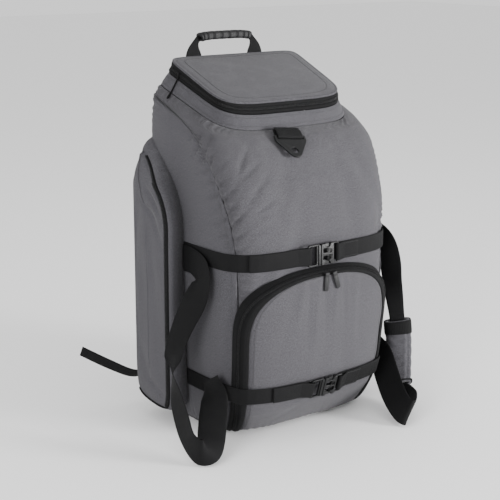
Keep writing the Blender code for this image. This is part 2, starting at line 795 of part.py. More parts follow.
def hull_point(outline, angle):
    """Where a ray from the middle of the body crosses the outline."""
    aim = Vector((math.cos(angle), math.sin(angle)))
    for n, start in enumerate(outline):
        a, b = Vector(start), Vector(outline[(n + 1) % len(outline)])
        edge = b - a
        cross = aim.x * edge.y - aim.y * edge.x
        if abs(cross) < 1e-12:
            continue
        along = (a.x * edge.y - a.y * edge.x) / cross
        share = (a.x * aim.y - a.y * aim.x) / cross
        if along > 0 and -1e-9 <= share <= 1 + 1e-9:
            return a + edge * share
    raise ValueError("no crossing at angle %.3f" % angle)


def strap_line(level, width, over_flap, angles):
    """Rows of two points across a strap that lies on the body, with its facing."""
    lines = []
    for offset in (-width / 2, width / 2):
        outline = taut_outline(level + offset, over_flap)
        lines.append([Vector((*hull_point(outline, angle), level + offset)) for angle in angles])
    rows = []
    for i in range(len(angles)):
        row = [line[i] for line in lines]
        before, after = lines[1][max(i - 1, 0)], lines[1][min(i + 1, len(angles) - 1)]
        facing = (after - before).cross(row[1] - row[0]).normalized()
        rows.append((row, facing))
    return rows


def lie(row, facing, lift):
    return [p + facing * lift for p in row]


class Buckle:
    """A buckle's place on the strap line: its middle, and its along, up and out directions."""

    def __init__(self, level, place, over_flap):
        outline = taut_outline(level, over_flap)
        low, high = math.pi, 2 * math.pi
        for _ in range(40):
            middle = (low + high) / 2
            if hull_point(outline, middle).x < place:
                low = middle
            else:
                high = middle
        reach = BUCKLE_LENGTH / 2 / FRONT_REACH
        rows = strap_line(level, STRAP_WIDTH, over_flap, (low - reach, low, low + reach))
        ends, centre, tips = [row for row, _ in rows]
        start = (ends[0] + ends[1]) / 2
        middle = (centre[0] + centre[1]) / 2
        self.along = ((tips[0] + tips[1]) / 2 - start).normalized()
        self.out = self.along.cross(centre[1] - centre[0]).normalized()
        self.up = self.out.cross(self.along).normalized()
        base = max((middle - start).dot(self.out), 0.0) + SEAT_GAP + WEBBING
        base += CORNER_SLACK if over_flap else 0.0
        self.centre = start + self.along * (middle - start).dot(self.along)
        self.centre += self.out * (base + BUCKLE_THICK / 2)
        self.angle = low

    def at(self, along, up, out):
        return self.centre + self.along * along + self.up * up + self.out * out


def strap_half(name, level, over_flap, buckle, sign, tail, look):
    """Half a compression strap, from the side seam to its bar, round it and back."""
    bar_place = sign * (BUCKLE_LENGTH / 2 - BUCKLE_BAR / 2)
    turn_radius = math.hypot(BUCKLE_BAR, LADDER_THICK) / 2 + 2 * SEAM_GAP + WEBBING / 2
    turn_radius /= math.cos(BEND_STEP / 2)
    leave = bar_place + sign * BAR_LEAD
    side_angle = math.atan2(-STRAP_START, sign * HALF_WIDTH) % (2 * math.pi)
    end_angle = buckle.angle + leave / (buckle.centre.xy.length)
    steps = 34 if over_flap else 26
    angles = [side_angle + (end_angle - side_angle) * n / steps for n in range(steps + 1)]
    rows = strap_line(level, STRAP_WIDTH, over_flap, angles)
    facing_out = 1 if sign < 0 else -1
    low_lift = SEAT_GAP + WEBBING / 2 + (CORNER_SLACK if over_flap else 0.0)
    high_lift = low_lift + WEBBING + SEAT_GAP
    path = [lie(row, facing * facing_out, low_lift) for row, facing in rows]
    for n in range(6):
        swing = BEND_STEP * n
        along = bar_place - sign * turn_radius * math.sin(swing)
        out = -turn_radius * math.cos(swing)
        path.append([buckle.at(along, up * STRAP_WIDTH / 2, out) for up in (-1, 1)])
    length = 0.0
    previous = rows[-1][0][0]
    for row, facing in reversed(rows):
        length += (row[0] - previous).length
        previous = row[0]
        if length > tail:
            break
        path.append(lie(row, facing * facing_out, high_lift))
    ribbon(name, path, WEBBING, look)


def prism(name, buckle, profile, up, collection):
    """A solid with a profile of along and out pairs, between two heights across the strap."""
    work = bmesh.new()
    rings = [[work.verts.new(buckle.at(along, level, out)) for along, out in profile] for level in up]
    count = len(profile)
    for n in range(count):
        k = (n + 1) % count
        work.faces.new((rings[0][n], rings[0][k], rings[1][k], rings[1][n]))
    work.faces.new(rings[0])
    work.faces.new(rings[1])
    bmesh.ops.recalc_face_normals(work, faces=work.faces)
    if work.calc_volume(signed=True) < 0:
        bmesh.ops.reverse_faces(work, faces=work.faces)
    mesh = bpy.data.meshes.new(name)
    work.to_mesh(mesh)
    work.free()
    made = bpy.data.objects.new(name, mesh)
    collection.objects.link(made)
    return made


def oblong(along, out):
    return [(along[0], out[0]), (along[1], out[0]), (along[1], out[1]), (along[0], out[1])]


def cut_with(target, cutter):
    cutter.hide_render = True
    cutter.display_type = "WIRE"
    modifier = target.modifiers.new(cutter.name, "BOOLEAN")
    modifier.operation = "DIFFERENCE"
    modifier.object = cutter


CUTTERS = bpy.data.collections.new("cutters")
bpy.context.scene.collection.children.link(CUTTERS)


def build_buckle(prefix, buckle):
    """A side release buckle: a ladder frame on the left and a socket on the right."""
    look = material("dark_plastic", DARK_PLASTIC, 0.45)
    end, tall = BUCKLE_LENGTH / 2, BUCKLE_HEIGHT / 2
    split = BUCKLE_LENGTH * (LADDER_SHARE - 0.5)
    window = (-STRAP_WIDTH / 2 - SEAT_GAP, STRAP_WIDTH / 2 + SEAT_GAP)
    thin, thick = LADDER_THICK / 2, BUCKLE_THICK / 2
    through = (-BUCKLE_THICK, BUCKLE_THICK)
    collar = split - COLLAR_LENGTH
    plug = prism(prefix + "_plug", buckle,
                 [(-end, -thin), (split - SEAM_GAP, -thin), (split - SEAM_GAP, thick * 0.8),
                  (collar, thick * 0.8), (collar - 0.002, thin), (-end, thin)],
                 (-tall, tall), COLLECTION)
    plug.data.materials.append(look)
    cut_with(plug, prism(prefix + "_plug_window", buckle,
                         oblong((-end + BUCKLE_BAR, collar - 0.003), through), window, CUTTERS))
    ladder = end - LADDER_SLOT - BUCKLE_BAR
    socket = prism(prefix + "_socket", buckle,
                   [(split, -thin), (end, -thin), (end, thin), (ladder, thin), (ladder - 0.005, thick),
                    (split + 0.003, thick), (split, thick * 0.8)],
                   (-tall, tall), COLLECTION)
    socket.data.materials.append(look)
    cut_with(socket, prism(prefix + "_socket_window", buckle,
                           oblong((ladder, end - BUCKLE_BAR), through), window, CUTTERS))
    notch = (split + 0.006, split + 0.017)
    for side, name in ((-1, "low"), (1, "high")):
        limits = sorted((side * (tall - NOTCH_DEPTH), side * (tall + NOTCH_DEPTH)))
        cut_with(socket, prism(prefix + "_notch_" + name, buckle, oblong(notch, through), limits, CUTTERS))


def build_straps():
    webbing = material("black_webbing", BLACK_WEBBING, 0.8)
    for prefix, level, place, over_flap, tail in (
            ("upper", UPPER_STRAP_HEIGHT, UPPER_BUCKLE_PLACE, False, UPPER_TAIL),
            ("lower", LOWER_STRAP_HEIGHT, LOWER_BUCKLE_PLACE, True, LOWER_TAIL)):
        buckle = Buckle(level, place, over_flap)
        strap_half(prefix + "_strap_left", level, over_flap, buckle, -1, tail, webbing)
        strap_half(prefix + "_strap_right", level, over_flap, buckle, 1, SEWN_TAIL, webbing)
        build_buckle(prefix + "_buckle", buckle)


# The carry handles

def handle_frames(table, sign):
    """Centre, across direction and width at each sample of a handle's route."""
    frames = []
    for swing, fore, up, out, back, rise, wide in smooth_route(table, HANDLE_SAMPLES):
        centre = Vector((sign * (HALF_WIDTH + swing * HANDLE_SWING), -fore * FRONT_REACH, up * HANDLE_TOP))
        frames.append((centre, Vector((sign * out, back, rise)), wide))
    made = []
    for i, (centre, across, wide) in enumerate(frames):
        along = frames[min(i + 1, len(frames) - 1)][0] - frames[max(i - 1, 0)][0]
        along.normalize()
        across = (across - along * across.dot(along)).normalized()
        made.append((centre, across, along, wide * HANDLE_WIDTH))
    return made


def build_handle(name, table, sign):
    frames = handle_frames(table, sign)
    rows = []
    for centre, across, along, width in frames:
        row = [centre + across * width * share for share in (-0.5, 0.5)]
        if rows:
            row = [p + along * max(LEAST_STEP - (p - last).dot(along), 0.0)
                   for p, last in zip(row, rows[-1])]
        rows.append(row)
    ribbon(name, rows, WEBBING, material("black_webbing", BLACK_WEBBING, 0.8))
    return frames


def sleeve(name, frames, width, thick, hole_width, hole_thick, look):
    """A padded sleeve round the webbing: a rounded outside and a flat slot inside."""
    sides = 14
    outer, inner = [], []
    for centre, across, along, _ in frames:
        facing = along.cross(across).normalized()
        over, under = [], []
        for n in range(sides):
            turn = 2 * math.pi * n / sides
            side, out = math.cos(turn), math.sin(turn)
            reach = (abs(side)**3 + abs(out)**3)**(1 / 3)
            over.append(centre + across * (width / 2 * side / reach) + facing * (thick / 2 * out / reach))
            under.append(centre + across * (hole_width / 2 * side / reach)
                         + facing * (hole_thick / 2 * out / reach))
        outer.append(over)
        inner.append(under)
    wall_solid(name, outer, inner, look, closed=True)


def build_grip(frames):
    first, last = round(GRIP_FROM * HANDLE_SAMPLES), round(GRIP_TO * HANDLE_SAMPLES)
    run = frames[first:last + 1]
    hole_width, hole_thick = GRIP_WIDTH - 2 * GRIP_WALL, GRIP_THICK - 2 * GRIP_WALL
    sleeve("grip_wrap", run, GRIP_WIDTH, GRIP_THICK, hole_width, hole_thick,
           material("grey_cloth", GREY_CLOTH, 0.9))
    gap = 2 * (SEAM_GAP + BINDING_WALL)
    for name, part in (("grip_binding_top", run[:3]), ("grip_binding_low", run[-2:])):
        sleeve(name, part, GRIP_WIDTH + gap, GRIP_THICK + gap, GRIP_WIDTH + 4 * SEAM_GAP,
               GRIP_THICK + 4 * SEAM_GAP, material("zip_tape", BLACK_TAPE, 0.6))


# The ring on its tab

class Place:
    """A spot on the skin, with directions to the right, down the surface and out of it."""

    def __init__(self, turn, height, lift=0.0):
        self.centre = lifted(turn, height, lift)
        self.out = skin_normal(turn, height)
        self.right = Vector((-math.sin(turn), math.cos(turn), 0))
        self.right = (self.right - self.out * self.right.dot(self.out)).normalized()
        self.down = self.right.cross(self.out).normalized()
        if self.down.z > 0:
            self.down = -self.down

    def at(self, right, down, out):
        return self.centre + self.right * right + self.down * down + self.out * out


def turn_at_side(place, height):
    turn = FRONT_TURN
    for _ in range(12):
        turn += (place - skin(turn, height).x) / HALF_WIDTH
    return turn


def plate(name, place, outline, low, high, look):
    """A flat plate with an outline of right and down pairs, between two lifts."""
    count = len(outline)
    points = [place.at(right, down, level) for level in (low, high) for right, down in outline]
    faces = [tuple(range(count)), tuple(reversed(range(count, 2 * count)))]
    faces += [(n, (n + 1) % count, count + (n + 1) % count, count + n) for n in range(count)]
    return add_mesh(name, points, faces, look)


def build_ring():
    place = Place(turn_at_side(RING_PLACE, RING_HEIGHT_SHARE), RING_HEIGHT_SHARE, 0.0)
    low = SEAT_GAP + WEBBING + SEAM_GAP
    high = low + RING_THICK
    half, tip = RING_WIDTH / 2, RING_DROP
    outline = [(-half, 0), (half, 0), (half, tip * 0.26)]
    nose = RING_HOLE + 0.0035
    hole_down = tip - nose
    for degrees in range(-20, 201, 20):
        swing = math.radians(degrees)
        outline.append((nose * math.cos(swing), hole_down + nose * math.sin(swing)))
    outline.append((-half, tip * 0.26))
    ring = plate("ring", place, outline, low, high, material("dark_plastic", DARK_PLASTIC, 0.45))
    circle = [(RING_HOLE * math.cos(t), hole_down + RING_HOLE * math.sin(t)) for t in ring_turns(16)]
    slot_high, slot_low = RING_BAR, RING_BAR + 0.004
    slot = [(-TAB_WIDTH / 2 - SEAT_GAP, slot_high), (TAB_WIDTH / 2 + SEAT_GAP, slot_high),
            (TAB_WIDTH / 2 + SEAT_GAP, slot_low), (-TAB_WIDTH / 2 - SEAT_GAP, slot_low)]
    for name, cut in (("ring_hole", circle), ("ring_slot", slot)):
        cutter = plate(name, place, cut, low - RING_THICK, high + RING_THICK, ring.data.materials[0])
        COLLECTION.objects.unlink(cutter)
        CUTTERS.objects.link(cutter)
        cut_with(ring, cutter)
    middle_down, middle_out = RING_BAR / 2, (low + high) / 2
    radius = (math.hypot(RING_BAR, RING_THICK) / 2 + SEAM_GAP + WEBBING / 2) / math.cos(BEND_STEP / 2)
    run = [(-TAB_LENGTH, middle_out - radius), (-TAB_LENGTH / 2, middle_out - radius)]
    for n in range(6):
        swing = BEND_STEP * n
        run.append((middle_down + radius * math.sin(swing), middle_out - radius * math.cos(swing)))
    run += [(-TAB_LENGTH / 2, middle_out + radius * 0.8), (-TAB_LENGTH, middle_out)]
    rows = [[place.at(side * TAB_WIDTH / 2, down, out) for side in (-1, 1)] for down, out in run]
    ribbon("ring_tab", rows, WEBBING, material("black_webbing", BLACK_WEBBING, 0.8))


# The top handle

def top_handle_centre(share):
    """The handle's middle line from its left root at 0 to its right root at 1."""
    half, grip = TOP_HANDLE_SPAN / 2, GRIP_LENGTH / 2
    stand = skin(math.pi / 2, COLLAR_ROW).y
    lean = stand - skin(math.pi / 2, LID_ROW).y
    right = ((0.0, 1.0), (grip * 0.72, 0.99), (grip * 1.04, 0.93), (half * 1.04, 0.72),
             (half * 1.06, 0.40), (half * 1.04, 0.0))
    table = [(-side, up) for side, up in reversed(right)] + list(right[1:])
    side, up = smooth_route(table, 1000)[round(share * 1000)]
    level = TOP_HANDLE_ROOT + TOP_HANDLE_RISE * up
    share = min(TOP_HANDLE_RISE * up / TOP_HANDLE_SET, 1.0)
    return Vector((TOP_HANDLE_PLACE + side, stand - lean * share + SEAT_GAP + WEBBING / 2, level))


def build_top_handle():
    samples = 40
    rows = []
    for n in range(samples + 1):
        share = n / samples
        centre = top_handle_centre(share)
        along = top_handle_centre(min(share + 0.01, 1)) - top_handle_centre(max(share - 0.01, 0))
        along.normalize()
        inside = smooth_step((0.5 - abs(share - 0.5) - 0.16) / 0.12)
        flat = Vector((along.z, 0, -along.x))
        across = flat * (1 - inside) + Vector((0, 1, 0)) * inside
        across = (across - along * across.dot(along)).normalized()
        width = TOP_HANDLE_WIDTH + (GRIP_DEEP * 0.6 - TOP_HANDLE_WIDTH) * inside
        rows.append([centre + across * width * side for side in (-0.5, 0.5)])
    ribbon("top_handle_webbing", rows, WEBBING, material("black_webbing", BLACK_WEBBING, 0.8))

    shares = [share for share in (n / 400 for n in range(401))
              if abs(top_handle_centre(share).x - TOP_HANDLE_PLACE) <= GRIP_LENGTH / 2
              and 0.2 < share < 0.8]
    first, last = shares[0], shares[-1]
    outer, inner = [], []
    steps = GRIP_RIBS * 2
    sides = 10
    for n in range(steps + 1):
        share = first + (last - first) * n / steps
        centre = top_handle_centre(share)
        along = (top_handle_centre(share + 0.01) - top_handle_centre(share - 0.01)).normalized()
        high = Vector((-along.z, 0, along.x))
        groove = GRIP_RIB * math.cos(math.pi * n)
        over, under = [], []
        for turn in ring_turns(sides):
            reach = (abs(math.cos(turn))**3 + abs(math.sin(turn))**3)**(1 / 3)
            deep, tall = math.cos(turn) / reach, math.sin(turn) / reach
            over.append(centre + Vector((0, 1, 0)) * deep * (GRIP_DEEP / 2 + groove)
                        + high * tall * (GRIP_TALL / 2 + groove))
            under.append(centre + Vector((0, 1, 0)) * deep * (GRIP_DEEP * 0.3 + 2 * SEAM_GAP)
                         + high * tall * (WEBBING / 2 + 3 * SEAM_GAP))
        outer.append(over)
        inner.append(under)
    wall_solid("top_handle_grip", outer, inner, material("dark_plastic", DARK_PLASTIC, 0.45), closed=True)


# Zip pulls

def tube(name, points, radius, look):
    """A round cord along its points, with filled ends."""
    curve = bpy.data.curves.new(name, "CURVE")
    curve.dimensions = "3D"
    curve.bevel_depth = radius
    curve.bevel_resolution = 2
    curve.use_fill_caps = True
    line = curve.splines.new("POLY")
    line.points.add(len(points) - 1)
    for spot, p in zip(line.points, points):
        spot.co = (*p, 1)
    curve.materials.append(look)
    made = bpy.data.objects.new(name, curve)
    COLLECTION.objects.link(made)


def build_pulls():
    turn = math.radians(PULLER_TURN)
    heights = (0.992, 0.975, 0.955, 0.935, 0.922)
    tube("lid_puller", [lifted(turn, h, PULLER_RADIUS + SEAT_GAP) for h in heights], PULLER_RADIUS,
         material("zip_tape", BLACK_TAPE, 0.6))
    for side, name in zip(PULL_PLACES, ("left", "right")):
        half = FLAP_HALF_TURN - GUSSET_SPREAD
        turn = FRONT_TURN + math.asin(side / HALF_WIDTH) * 0.8
        across = (turn - FLAP_MIDDLE) / half
        level = PULL_HEIGHT - PULL_LENGTH / 2
        place = Place(turn, share_of(level), flap_lift(across, level) + SEAT_GAP + SEAM_GAP)
        outline = [(-PULL_WIDTH / 2, -PULL_LENGTH / 2), (PULL_WIDTH / 2, -PULL_LENGTH / 2),
                   (PULL_WIDTH * 0.4, PULL_LENGTH / 2), (-PULL_WIDTH * 0.4, PULL_LENGTH / 2)]
        plate("flap_pull_" + name, place, outline, 0.0, PULL_THICK,
              material("dark_plastic", DARK_PLASTIC, 0.45))


# The back

def slab(name, low, high, look):
    """A plain block between two opposite corners."""
    points = [(x, y, z) for x in (low[0], high[0]) for y in (low[1], high[1]) for z in (low[2], high[2])]
    faces = ((0, 1, 3, 2), (4, 6, 7, 5), (0, 4, 5, 1), (2, 3, 7, 6), (0, 2, 6, 4), (1, 5, 7, 3))
    return add_mesh(name, points, faces, look)


def build_adjuster(name, sign, middle):
    """The frame between a shoulder strap's webbing, behind it, and the loose tail in front."""
    look = material("dark_plastic", DARK_PLASTIC, 0.45)
    near = middle + LOW_ROWS[0][1] * SHOULDER_STANDOFF + WEBBING / 2 + SEAM_GAP
    far = middle + TAIL_ROWS[0][1] * SHOULDER_STANDOFF - WEBBING / 2 - 2 * SEAT_GAP
    centre = sign * SHOULDER_ROWS[-1][0] * HALF_WIDTH
    half, bottom = ADJUSTER_WIDTH / 2, ADJUSTER_TOP - ADJUSTER_LENGTH
    frame = slab(name, (centre - half, near, bottom), (centre + half, far, ADJUSTER_TOP), look)
    hole = half - ADJUSTER_BAR * 0.7
    cutter = slab(name + "_window", (centre - hole, near - ADJUSTER_BAR, bottom + ADJUSTER_BAR),
                  (centre + hole, far + ADJUSTER_BAR, ADJUSTER_TOP - ADJUSTER_BAR), look)
    COLLECTION.objects.unlink(cutter)
    CUTTERS.objects.link(cutter)
    cut_with(frame, cutter)


def build_back():
    cloth = material("grey_cloth", GREY_CLOTH, 0.9)
    webbing = material("black_webbing", BLACK_WEBBING, 0.8)
    middle = (BACK_PAD_LOW + BACK_PAD_HIGH) / 2
    tall = (BACK_PAD_HIGH - BACK_PAD_LOW) / 2
    near = BACK_REACH + SEAM_GAP
    points = []
    count = 32
    for back, grow in ((near, 0.99), (near + BACK_PAD_THICK * 0.6, 1.0), (near + BACK_PAD_THICK, 0.965)):
        for turn in ring_turns(count):
            side, up = math.cos(turn), math.sin(turn)
            reach = (abs(side)**6 + abs(up)**6)**(1 / 6)
            points.append(Vector((BACK_PAD_WIDTH / 2 * side / reach * grow, back,
                                  middle + tall * up / reach * grow)))
    faces = [tuple(range(count)), tuple(reversed(range(2 * count, 3 * count)))]
    for ring in range(2):
        for n in range(count):
            k = (n + 1) % count
            near_ring, far_ring = ring * count, (ring + 1) * count
            faces.append((near_ring + n, near_ring + k, far_ring + k, far_ring + n))
    add_mesh("back_pad", points, faces, cloth)

    pad_face = near + BACK_PAD_THICK + SEAM_GAP
    for sign, name in ((-1, "left"), (1, "right")):
        rows = []
        for out, away, up, wide in smooth_route(SHOULDER_ROWS, 16):
            centre = Vector((sign * out * HALF_WIDTH, pad_face + PAD_THICK / 2 + away * SHOULDER_STANDOFF,
                             up * SHOULDER_TOP))
            rows.append([centre + Vector((side * wide * SHOULDER_WIDTH, 0, 0))
                         for side in (-0.5, 0.0, 0.5)])
        ribbon("shoulder_strap_" + name, rows, PAD_THICK, cloth)
        rows = []
        for out, away, up in smooth_route(LOW_ROWS, 10):
            centre = Vector((sign * out * HALF_WIDTH, pad_face + PAD_THICK / 2 + away * SHOULDER_STANDOFF,
                             up * SHOULDER_TOP))
            rows.append([centre + Vector((side * LOW_WEBBING, 0, 0)) for side in (-0.5, 0.5)])
        ribbon("lower_webbing_" + name, rows, WEBBING, webbing)
        rows = []
        for out, away, up, across_out, across_away, across_up in smooth_route(TAIL_ROWS, 20):
            centre = Vector((sign * out * HALF_WIDTH, pad_face + PAD_THICK / 2 + away * SHOULDER_STANDOFF,
                             up * SHOULDER_TOP))
            across = Vector((sign * across_out, across_away, across_up)).normalized()
            rows.append([centre + across * side * LOW_WEBBING for side in (-0.5, 0.5)])
        ribbon("strap_tail_" + name, rows, WEBBING, webbing)
        build_adjuster("adjuster_" + name, sign, pad_face + PAD_THICK / 2)


build_body()
build_bottom()
build_lid()
build_front_compartment()
build_pocket("side_pocket_left", -1)
build_pocket("side_pocket_right", 1)
build_pocket_zip("pocket_zip_left", -1)
build_pocket_zip("pocket_zip_right", 1)
build_straps()
build_handle("handle_left", HANDLE_LEFT, -1)
build_grip(build_handle("handle_right", HANDLE_RIGHT, 1))
build_ring()
build_top_handle()
build_pulls()
build_back()
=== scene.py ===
# %% [markdown]
# # A sports backpack in heather cloth, webbing and plastic
# The real bag is a sewn shell of padded polyester that stands on its own: a tall body, a flat
# zipped lid, an arched front compartment, two side pockets, two compression straps with side
# release buckles, two carry loops and a ribbed top handle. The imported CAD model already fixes
# where every piece sits. This lesson dresses it: each soft solid is made again as a finely
# divided cloth piece from the same named sizes, and the repeated small things, such as stitches
# and zip coils, come from Geometry Nodes.

# %% The frame and the libraries
import math

import bmesh
import bpy
import numpy as np
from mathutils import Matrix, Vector


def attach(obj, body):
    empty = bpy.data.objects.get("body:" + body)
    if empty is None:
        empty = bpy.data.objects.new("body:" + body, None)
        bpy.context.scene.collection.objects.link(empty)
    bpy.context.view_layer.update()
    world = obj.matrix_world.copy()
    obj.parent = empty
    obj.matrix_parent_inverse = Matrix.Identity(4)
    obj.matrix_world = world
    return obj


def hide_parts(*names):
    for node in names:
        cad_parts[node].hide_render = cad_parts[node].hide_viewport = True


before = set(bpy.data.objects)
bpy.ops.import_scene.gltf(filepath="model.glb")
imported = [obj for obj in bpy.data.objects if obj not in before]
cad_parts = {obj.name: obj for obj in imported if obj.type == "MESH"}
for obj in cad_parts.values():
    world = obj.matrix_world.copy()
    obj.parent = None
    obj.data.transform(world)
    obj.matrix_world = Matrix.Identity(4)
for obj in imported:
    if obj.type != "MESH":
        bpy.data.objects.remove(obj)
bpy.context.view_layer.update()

print("frame loaded:", len(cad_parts), "nodes")

# %% [markdown]
# ## Sizes
# A bag is cut from patterns, so its shape is a set of sizes and a few short tables. The body is
# a stack of rounded-square sections: every row gives how wide it is and how far it reaches to the
# front and to the back, as shares of the full sizes. The same numbers drive the CAD model, so the
# cloth lands on it.

# %% Body sizes and sections
BASE, HEIGHT, HALF_WIDTH, FRONT_REACH, BACK_REACH = 0.0033, 0.532, 0.148, 0.138, 0.090
ROW_NAMES = ("front", "back", "width", "nose", "spine", "square", "taper")
BODY_ROWS = np.array((
    (0.000, 0.000, 0.885, 0.593, 0.900, 4.2, 0.00),
    (0.025, 0.025, 0.930, 0.740, 0.960, 4.2, 0.00),
    (0.070, 0.070, 0.950, 0.830, 0.990, 4.2, 0.00),
    (0.120, 0.120, 0.965, 0.880, 1.000, 4.2, 0.00),
    (0.250, 0.250, 0.985, 0.940, 1.000, 4.3, 0.00),
    (0.450, 0.450, 1.000, 0.990, 1.000, 4.5, 0.00),
    (0.600, 0.600, 1.005, 0.966, 1.000, 4.5, 0.00),
    (0.690, 0.720, 1.010, 0.882, 1.000, 4.4, 0.00),
    (0.760, 0.830, 1.015, 0.760, 1.000, 4.2, 0.00),
    (0.810, 0.905, 0.990, 0.610, 1.000, 4.0, 0.06),
    (0.829, 0.940, 0.915, 0.500, 0.990, 4.2, 0.12),
    (0.868, 0.972, 0.825, 0.430, 0.960, 4.4, 0.08),
    (0.896, 1.000, 0.785, 0.393, 0.930, 4.8, 0.04),
))
SQUARE_BACK, BACK_SEAM, FRONT = 13.0, 135.0, 1.5 * math.pi
COLLAR_ROW, ZIP_ROW, LID_ROW = 0.940, 0.972, 1.000
SIDE_SEAM = np.array((
    (0.000, 223.0), (0.250, 222.0), (0.500, 220.5), (0.600, 217.5), (0.690, 213.5), (0.780, 209.0),
    (0.840, 204.0), (0.875, 193.0), (0.895, 174.0), (0.907, 151.0), (0.912, 139.0), (0.920, 135.0),
))


def smooth_value(keys, values, at):
    """Values between table rows, on curves that never swing past them."""
    slopes = np.diff(values) / np.diff(keys)
    before, after = slopes[:-1], slopes[1:]
    same = before * after > 0
    inner = np.where(same, 2 * before * after / np.where(same, before + after, 1.0), 0.0)
    tangent = np.concatenate(([slopes[0]], inner, [slopes[-1]]))
    at = np.clip(np.asarray(at, float), keys[0], keys[-1])
    k = np.clip(np.searchsorted(keys, at, side="right") - 1, 0, len(keys) - 2)
    width = keys[k + 1] - keys[k]
    t = (at - keys[k]) / width
    return ((2 * t**3 - 3 * t**2 + 1) * values[k] + (t**3 - 2 * t**2 + t) * width * tangent[k]
            + (3 * t**2 - 2 * t**3) * values[k + 1] + (t**3 - t**2) * width * tangent[k + 1])


def row_value(name, height):
    return smooth_value(BODY_ROWS[:, 1], BODY_ROWS[:, ROW_NAMES.index(name)], height)


def section(height):
    """Half width, middle, half depth, squareness, taper and both levels of a section."""
    nose, spine = -row_value("nose", height) * FRONT_REACH, row_value("spine", height) * BACK_REACH
    rise = HEIGHT - BASE
    return (row_value("width", height) * HALF_WIDTH, (nose + spine) / 2, (spine - nose) / 2,
            row_value("square", height), row_value("taper", height),
            BASE + rise * row_value("front", height), BASE + rise * row_value("back", height))


def unit(vectors):
    return vectors / np.maximum(np.linalg.norm(vectors, axis=-1, keepdims=True), 1e-12)


def bell(values, place, width):
    """A smooth bump: one at the place, fading away over the width."""
    return np.exp(-((values - place) / width)**2)


def full_turn(count):
    return np.linspace(0, 2 * math.pi, count, endpoint=False)


def run_along(line):
    """The distance from a line's start to each of its points."""
    return np.concatenate(([0], np.cumsum(np.linalg.norm(np.diff(line, axis=0), axis=1))))


def rounded_square(turns, power):
    """Points of a rounded square of unit half width. The power sets how square it is."""
    side, up = np.cos(turns), np.sin(turns)
    reach = (np.abs(side)**power + np.abs(up)**power)**(1 / power)
    return side / reach, up / reach


def body_skin(turn, height):
    """Points of the body's skin at turns in radians and height shares."""
    turn, height = np.broadcast_arrays(np.asarray(turn, float), np.asarray(height, float))
    half, middle, deep, square, taper, low, high = section(height)
    side, fore = rounded_square(turn, np.where(np.sin(turn) > 0, SQUARE_BACK, square))
    half = half * (1 - taper * (1 - fore) / 2)
    return np.stack((half * side, middle + deep * fore, low + (high - low) * (fore + 1) / 2), -1)


def body_normal(turn, height):
    step = 0.004
    around = body_skin(turn + step, height) - body_skin(turn - step, height)
    upward = (body_skin(turn, np.minimum(height + step, 1.0))
              - body_skin(turn, np.maximum(height - step, 0.0)))
    return unit(np.cross(around, upward))


def lifted(turn, height, lift):
    turn, height = np.broadcast_arrays(np.asarray(turn, float), np.asarray(height, float))
    return body_skin(turn, height) + body_normal(turn, height) * np.asarray(lift)[..., None]


def share_of(level):
    return (np.asarray(level, float) - BASE) / (HEIGHT - BASE)


print("body skin: front", body_skin(FRONT, 0.45).round(3), "back", body_skin(math.pi / 2, 0.45).round(3))

# %% [markdown]
# ## Camera, floor and light
# The photo looks at the bag's front left edge from a little above, with a long lens. The camera
# stands at that angle, and never moves again. The floor is a plain pale sweep, and three big soft
# lamps give the even light of a product studio: one from the front right, one from the left, and
# one overhead.

# %% Camera
def linked(name, data):
    """An object that shows the data, put in the scene."""
    made = bpy.data.objects.new(name, data)
    bpy.context.scene.collection.objects.link(made)
    return made


VIEW_TURN, VIEW_TILT, VIEW_ROLL = math.radians(36.8), math.radians(14.2), -0.003
VIEW_AIM = np.array((-0.0183, 0.0137, 0.2442))
VIEW_DISTANCE, LENS, SENSOR = 1.880, 89.1, 36.0
back = np.array((-math.sin(VIEW_TURN) * math.cos(VIEW_TILT), -math.cos(VIEW_TURN) * math.cos(VIEW_TILT),
                 math.sin(VIEW_TILT)))
right = np.array((math.cos(VIEW_TURN), -math.sin(VIEW_TURN), 0.0))
upward = np.cross(back, right)
roll_cos, roll_sin = math.cos(VIEW_ROLL), math.sin(VIEW_ROLL)
eye = VIEW_AIM + back * VIEW_DISTANCE
camera = linked("camera", bpy.data.cameras.new("camera"))
camera.data.lens, camera.data.sensor_width = LENS, SENSOR
columns = (right * roll_cos - upward * roll_sin, right * roll_sin + upward * roll_cos, back, eye)
for row in range(3):
    for column in range(4):
        camera.matrix_world[row][column] = columns[column][row]
bpy.context.scene.camera = camera
print("camera at", eye.round(3))


# %% Node helpers
def new_group(name, inputs, outputs, kind="ShaderNodeTree"):
    """A node group with its sockets: the tree, what comes into it, and the node it ends in."""
    tree = bpy.data.node_groups.new(name, kind)
    for way, rows in (("INPUT", inputs), ("OUTPUT", outputs)):
        for title, value_kind, *value in rows:
            made = tree.interface.new_socket(title, in_out=way, socket_type="NodeSocket" + value_kind)
            if value:
                made.default_value = value[0]
    return tree, tree.nodes.new("NodeGroupInput").outputs, tree.nodes.new("NodeGroupOutput")


def wire(tree, target, wires):
    """Sets a node's inputs to values, or wires them from other sockets."""
    for key, value in dict(wires).items():
        if isinstance(value, bpy.types.NodeSocket):
            tree.links.new(value, target.inputs[key])
        else:
            target.inputs[key].default_value = value
    return target


def node(tree, kind, wires=(), **settings):
    made = tree.nodes.new(kind)
    for name, value in settings.items():
        setattr(made, name, value)
    return wire(tree, made, wires)


def maths(tree, operation, a, b=0.0, c=0.0):
    return node(tree, "ShaderNodeMath", {0: a, 1: b, 2: c}, operation=operation).outputs[0]


def mixed(tree, factor, a, b, blend="MIX"):
    wires = {0: factor, 6: a, 7: b}
    return node(tree, "ShaderNodeMix", wires, data_type="RGBA", blend_type=blend).outputs[2]


